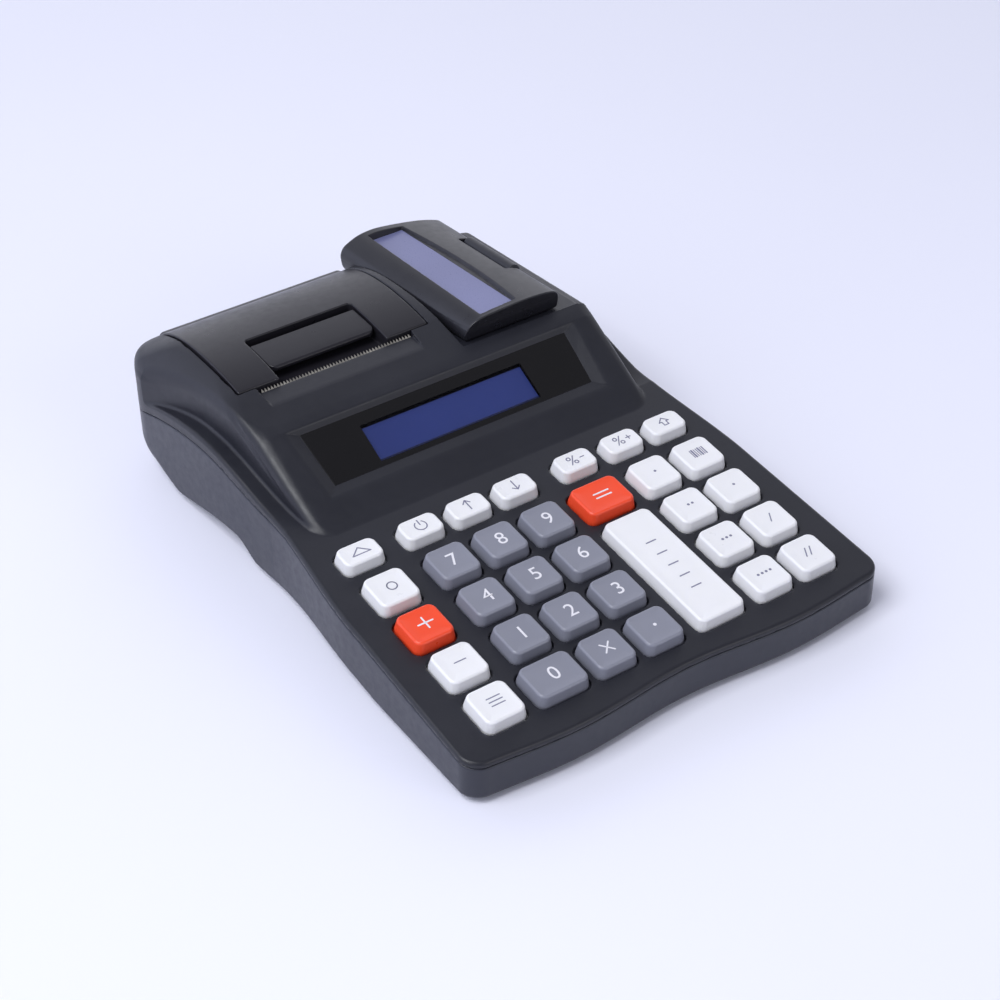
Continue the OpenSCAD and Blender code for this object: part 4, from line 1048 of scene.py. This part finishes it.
def joined(*parts):
    v, f = [], []
    for pv, pff in parts:
        s = len(v)
        v += pv
        f += [tuple(i + s for i in t) for t in pff]
    return v, f


def moved(part, dx, dy):
    return [(x + dx, y + dy) for x, y in part[0]], part[1]


def arc(cx, cy, r, a0, a1, n=24):
    return [(cx + r * math.cos(R(a0 + (a1 - a0) * k / n)), cy + r * math.sin(R(a0 + (a1 - a0) * k / n))) for k in range(n + 1)]


S = 0.42
LEG = {}
for n in "0123456789":
    LEG["key_" + n] = text_shape(n, 7.7)
LEG["key_multiply"] = strokes([[(-1.7, -1.9), (1.7, 1.9)], [(-1.7, 1.9), (1.7, -1.9)]], 0.55)
LEG["key_point"] = disc(0, 0, 0.62)
LEG["key_decimal"] = disc(0, 0, 0.5)
LEG["key_feed"] = strokes([[(-3.4, -1.4), (3.4, -1.4), (0, 1.6), (-3.4, -1.4)]], S)
LEG["key_power"] = strokes([arc(0, -0.2, 2.1, 125, 415), [(0, 0.2), (0, 2.4)]], S)
LEG["key_up"] = strokes([[(0, -2.3), (0, 2.3)], [(-1.4, 0.9), (0, 2.3), (1.4, 0.9)]], S)
LEG["key_down"] = strokes([[(0, -2.3), (0, 2.3)], [(-1.4, -0.9), (0, -2.3), (1.4, -0.9)]], S)
LEG["key_percent_minus"] = joined(moved(text_shape("%", 6.0), -1.0, 0), strokes([[(2.2, 0.1), (3.8, 0.1)]], S))
LEG["key_percent_plus"] = joined(moved(text_shape("%", 6.0), -1.0, 0), strokes([[(2.1, 0.1), (4.0, 0.1)], [(3.05, -0.85), (3.05, 1.05)]], S))
LEG["key_shift"] = strokes([[(-0.9, -1.7), (-0.9, 0.1), (-2.0, 0.1), (0, 2.0), (2.0, 0.1), (0.9, 0.1), (0.9, -1.7), (-0.9, -1.7)]], S)
LEG["key_clear"] = strokes([arc(0, 0, 1.7, 0, 360)], S)
LEG["key_subtotal"] = strokes([[(-3.0, 1.0), (3.0, 1.0)], [(-3.0, -1.0), (3.0, -1.0)]], 0.62)
LEG["key_price"] = strokes([[(-2.7, 0), (2.7, 0)], [(0, -2.5), (0, 2.5)]], 0.62)
LEG["key_void"] = strokes([[(-2.1, 0), (2.1, 0)]], S)
LEG["key_lookup"] = strokes([[(-2.4, 1.6), (2.4, 1.6)], [(-2.4, 0), (2.4, 0)], [(-2.4, -1.6), (2.4, -1.6)]], S)
LEG["key_barcode"] = joined(*[strokes([[(x, -1.8), (x, 1.8)]], w) for x, w in ((-2.6, 0.35), (-1.8, 0.7), (-0.9, 0.35), (0, 0.35), (0.9, 0.7), (1.8, 0.35), (2.6, 0.5))])
for n in range(4):
    LEG[f"key_dept_{n + 1}"] = joined(*[disc((k - n / 2) * 1.7, 0, 0.5) for k in range(n + 1)])
LEG["key_pay_1"] = strokes([[(-0.9, -1.7), (0.9, 1.7)]], S)
LEG["key_pay_2"] = strokes([[(-1.9, -1.7), (-0.1, 1.7)], [(0.1, -1.7), (1.9, 1.7)]], S)
LEG["key_total"] = joined(*[strokes([[(-1.9, y), (1.9, y)]], 0.5) for y in (12.0, 6.0, 0.0, -6.0, -12.0)])


def ink(part, w, d, dx, dy):
    """a legend as a thin skin that follows the key's top"""
    pv, pff = part
    v, f = [], []
    lift = 0.035
    for x, y in pv:
        x, y = x + dx, y + dy
        v.append((x, y, key_top(x, y, w, d) + lift))
    n = len(v)
    v += [(x, y, z - 2 * lift) for x, y, z in v]
    edges = {}
    for t in pff:
        area = sum(v[t[k]][0] * v[t[(k + 1) % len(t)]][1] - v[t[(k + 1) % len(t)]][0] * v[t[k]][1] for k in range(len(t)))
        t = t if area > 0 else t[::-1]
        f.append(t)
        f.append(tuple(i + n for i in t[::-1]))
        for k in range(len(t)):
            edges[(t[k], t[(k + 1) % len(t)])] = True
    for (a, b) in edges:
        if (b, a) not in edges:
            f.append((b, a, a + n, b + n))
    return v, f


for kx, ky, kw, kd, node, colour in KEYS:
    v, f = keycap(kw, kd)
    n_cap = len(f)
    if node in LEG:
        dx, dy = (0.1, 0.0) if kd > 20 else ((0.2, 0.4) if kd < 12 else (0.4, 0.4))
        iv, jf = ink(LEG[node], kw / 2, kd / 2, dx, dy)
        s = len(v)
        v = v + iv
        f = f + [tuple(i + s for i in t) for t in jf]
    v = [(x + kx, y + ky, z) for x, y, z in v]
    inkm = M["ink_grey"] if colour == "white" else M["ink_white"]
    o = mesh_of(node + "_cap", np.array(v), f, [M[colour], inkm], place=on_deck)
    for p in o.data.polygons:
        if p.index >= n_cap:
            p.material_index = 1
            p.use_smooth = False
    o.data.set_sharp_from_angle(angle=R(50))
    finish_piece(o, node, node)


# ------------------------------------------------------------------ small parts that replace plain solids
def revolve(profile, n=48, axis="x", centre=(0, 0, 0), cap=False):
    """profile as (along, radius) pairs, turned round the axis"""
    v, f = [], []
    for a, r in profile:
        for k in range(n):
            t = 2 * math.pi * k / n
            c, s = r * math.cos(t), r * math.sin(t)
            p = {"x": (a, c, s), "y": (s, a, c), "z": (c, s, a)}[axis]
            v.append(tuple(p[i] + centre[i] for i in range(3)))
    for i in range(len(profile) - 1):
        for k in range(n):
            j = (k + 1) % n
            f.append((i * n + k, i * n + j, (i + 1) * n + j, (i + 1) * n + k)[::-1])
    if cap:
        m_ = len(profile)
        for i, flip in ((0, False), (m_ - 1, True)):
            v.append(tuple(np.mean([v[i * n + k] for k in range(n)], 0)))
            for k in range(n):
                j = (k + 1) % n
                t = (i * n + k, i * n + j, len(v) - 1)
                f.append(t[::-1] if flip else t)
    else:
        i = len(profile) - 1
        for k in range(n):
            j = (k + 1) % n
            f.append((i * n + k, i * n + j, j, k)[::-1])
    return v, f


def fix_normals(o):
    bm = bmesh.new()
    bm.from_mesh(o.data)
    bmesh.ops.recalc_face_normals(bm, faces=bm.faces)
    bm.to_mesh(o.data)
    bm.free()
    return o


def plate(name, lo, hi, r, mats, place, seg=3):
    """flat plate with rounded edges, between two corners in its own frame"""
    bm = bmesh.new()
    bmesh.ops.create_cube(bm, size=1)
    for q in bm.verts:
        q.co = Vector([(lo[k] + hi[k]) / 2 + q.co[k] * (hi[k] - lo[k]) for k in range(3)])
    bmesh.ops.bevel(bm, geom=bm.edges[:], offset=r, segments=seg, affect="EDGES", profile=0.5)
    v = np.array([q.co[:] for q in bm.verts])
    f = [tuple(q.index for q in p.verts) for p in bm.faces]
    bm.free()
    o = mesh_of(name, v, f, mats, place=place)
    o.data.set_sharp_from_angle(angle=R(45))
    return o


# windows and screens
rings = [[(x - np.sign(x) * 0.05, y + (0.05 if k < 2 else -0.05), z) for k, (x, y, z) in enumerate(bevel_at(-3.2))],
         [(x - np.sign(x) * 0.03, y + (0.03 if k < 2 else -0.03), z) for k, (x, y, z) in enumerate(bevel_at(-1.9))],
         [(x - np.sign(x) * 0.14, y + (0.14 if k < 2 else -0.14), -1.8) for k, (x, y, z) in enumerate(bevel_at(-1.9))]]
v = [p for g in rings for p in g]
f = [(3, 2, 1, 0), (8, 9, 10, 11)] + [(4 * i + k, 4 * i + (k + 1) % 4, 4 * i + 4 + (k + 1) % 4, 4 * i + 4 + k) for i in (0, 1) for k in range(4)]
o = mesh_of("operator_window", np.array(v), f, [M["smoked"]], smooth=False, place=on_panel)
finish_piece(o, "register", "display_window")

cw = []
for dz, e in ((-1.1, 0.0), (-0.1, 0.0), (0.0, 0.1)):
    cw.append([(a + pane_x(b), b, pane_z(b) + dz) for a, b in ((-30.55 + e, -37.65 + e), (-15.8 - e, -37.65 + e), (-15.8 - e, 33.35 - e), (-30.55 + e, 33.35 - e))])
v = [p for g in cw for p in g]
f = [(3, 2, 1, 0), (8, 9, 10, 11)] + [(4 * i + k, 4 * i + (k + 1) % 4, 4 * i + 4 + (k + 1) % 4, 4 * i + 4 + k) for i in (0, 1) for k in range(4)]
o = mesh_of("customer_window", np.array(v), f, [M["lavender"]], smooth=False, place=on_pod)
finish_piece(o, "customer_display", "customer_display_window")

# paper roll with wound edges
rnd = np.random.default_rng(5)
prof = []
xs = -26.5 - 28.75
turns = [6.0 + i * (15.0 / 46) for i in range(47)]
left = [(xs + float(rnd.uniform(0.0, 0.12)), r) for r in turns]
right = [(-26.5 + 28.75 - float(rnd.uniform(0.0, 0.12)), r) for r in turns]
prof = [(xs + 0.6, 6.0)] + left[:-1] + [(xs + 0.05, 20.9), (xs + 0.15, 21.0)] + [(xs + 57.35, 21.0), (xs + 57.45, 20.9)] + right[:-1][::-1] + [(xs + 56.9, 6.0)]
v, f = revolve(prof, 96, "x", (0, 86, 26.3))
o = mesh_of("paper_roll_wound", np.array(v), f, [M["paper"]])
fix_normals(o)
o.data.set_sharp_from_angle(angle=R(30))
finish_piece(o, "roll", "paper_roll")

# tear bar: thin steel with folded-looking teeth
tw = 61 / 49
bv, bf = [], []
for y, z in ((45.1, 50.7), (45.1, 50.2)):
    bv += [(-26.5 + 30.5, y, z), (-26.5 - 30.5, y, z)]
for i in range(50):
    bv += [(4.0 - i * tw, 50.75, 51.95), (4.0 - i * tw, 50.75, 51.15)]
for i in range(49):
    bv += [(4.0 - (i + 0.5) * tw, 52.05, 52.75), (4.0 - (i + 0.5) * tw, 52.05, 52.45)]
bf = [(0, 1, 3, 2), (0, 2, 5, 4), (1, 102, 103, 3)]
bf += [(0, 4, 6), (2, 7, 5)] + [(0, 4 + 2 * i, 6 + 2 * i) for i in range(1, 49)] + [(2, 7 + 2 * i, 5 + 2 * i) for i in range(1, 49)] + [(0, 102, 1), (2, 3, 103)]
body_faces = len(bf)
for i in range(49):
    a, b, c, d, P, Q = 4 + 2 * i, 6 + 2 * i, 5 + 2 * i, 7 + 2 * i, 104 + 2 * i, 105 + 2 * i
    bf += [(a, P, b), (c, d, Q), (a, c, Q, P), (b, P, Q, d)]
o = mesh_of("tear_bar_teeth", np.array(bv), bf, [M["blade"], M["steel_y"]], smooth=False)
for q in o.data.polygons:
    q.material_index = 1 if q.index < body_faces else 0
fix_normals(o)
fix_normals(o)
finish_piece(o, "register", "tear_bar")

# ------------------------------------------------------------------ carried-over pieces: finish and broken edges
KEEP = {
    "main_lcd": ("blue", "blue_screen"), "customer_lcd": ("board", "circuit_board"),
    "rubber_feet": ("rubber", "feet_rubber"), "case_screws": ("zinc", "steel_pin"), "key_mat": ("mat", "silicone_mat"), "main_board": ("board", "circuit_board"),
    "cover_hinge_pin": ("steel", "steel_pin"), "display_hinge_pin": ("steel_y", "steel_pin"), "platen_roller": ("platen", "platen_rubber"),
    "platen_gear": ("gear", "gear_white"), "idler_gear": ("gear", "gear_white"), "motor_pinion": ("brass", "pinion_brass"), "feed_motor": ("motor", "motor_metal"),
    "printer_frame": ("frame", "frame_grey"), "print_head": ("head", "head_metal"), "dc_jack": ("socket", "socket_black"), "data_sockets": ("socket", "socket_black")}
for node, (mt, slot) in KEEP.items():
    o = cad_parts[node]
    if not o.material_slots:
        o.data.materials.append(M[mt])
    for s in o.material_slots:
        s.link = "OBJECT"
        s.material = M[mt]
    w = o.modifiers.new("weld", "WELD")
    w.merge_threshold = 2e-6
    b = o.modifiers.new("edge", "BEVEL")
    b.width, b.segments, b.limit_method, b.angle_limit = 0.0002, 2, "ANGLE", R(40)
    b.harden_normals = False
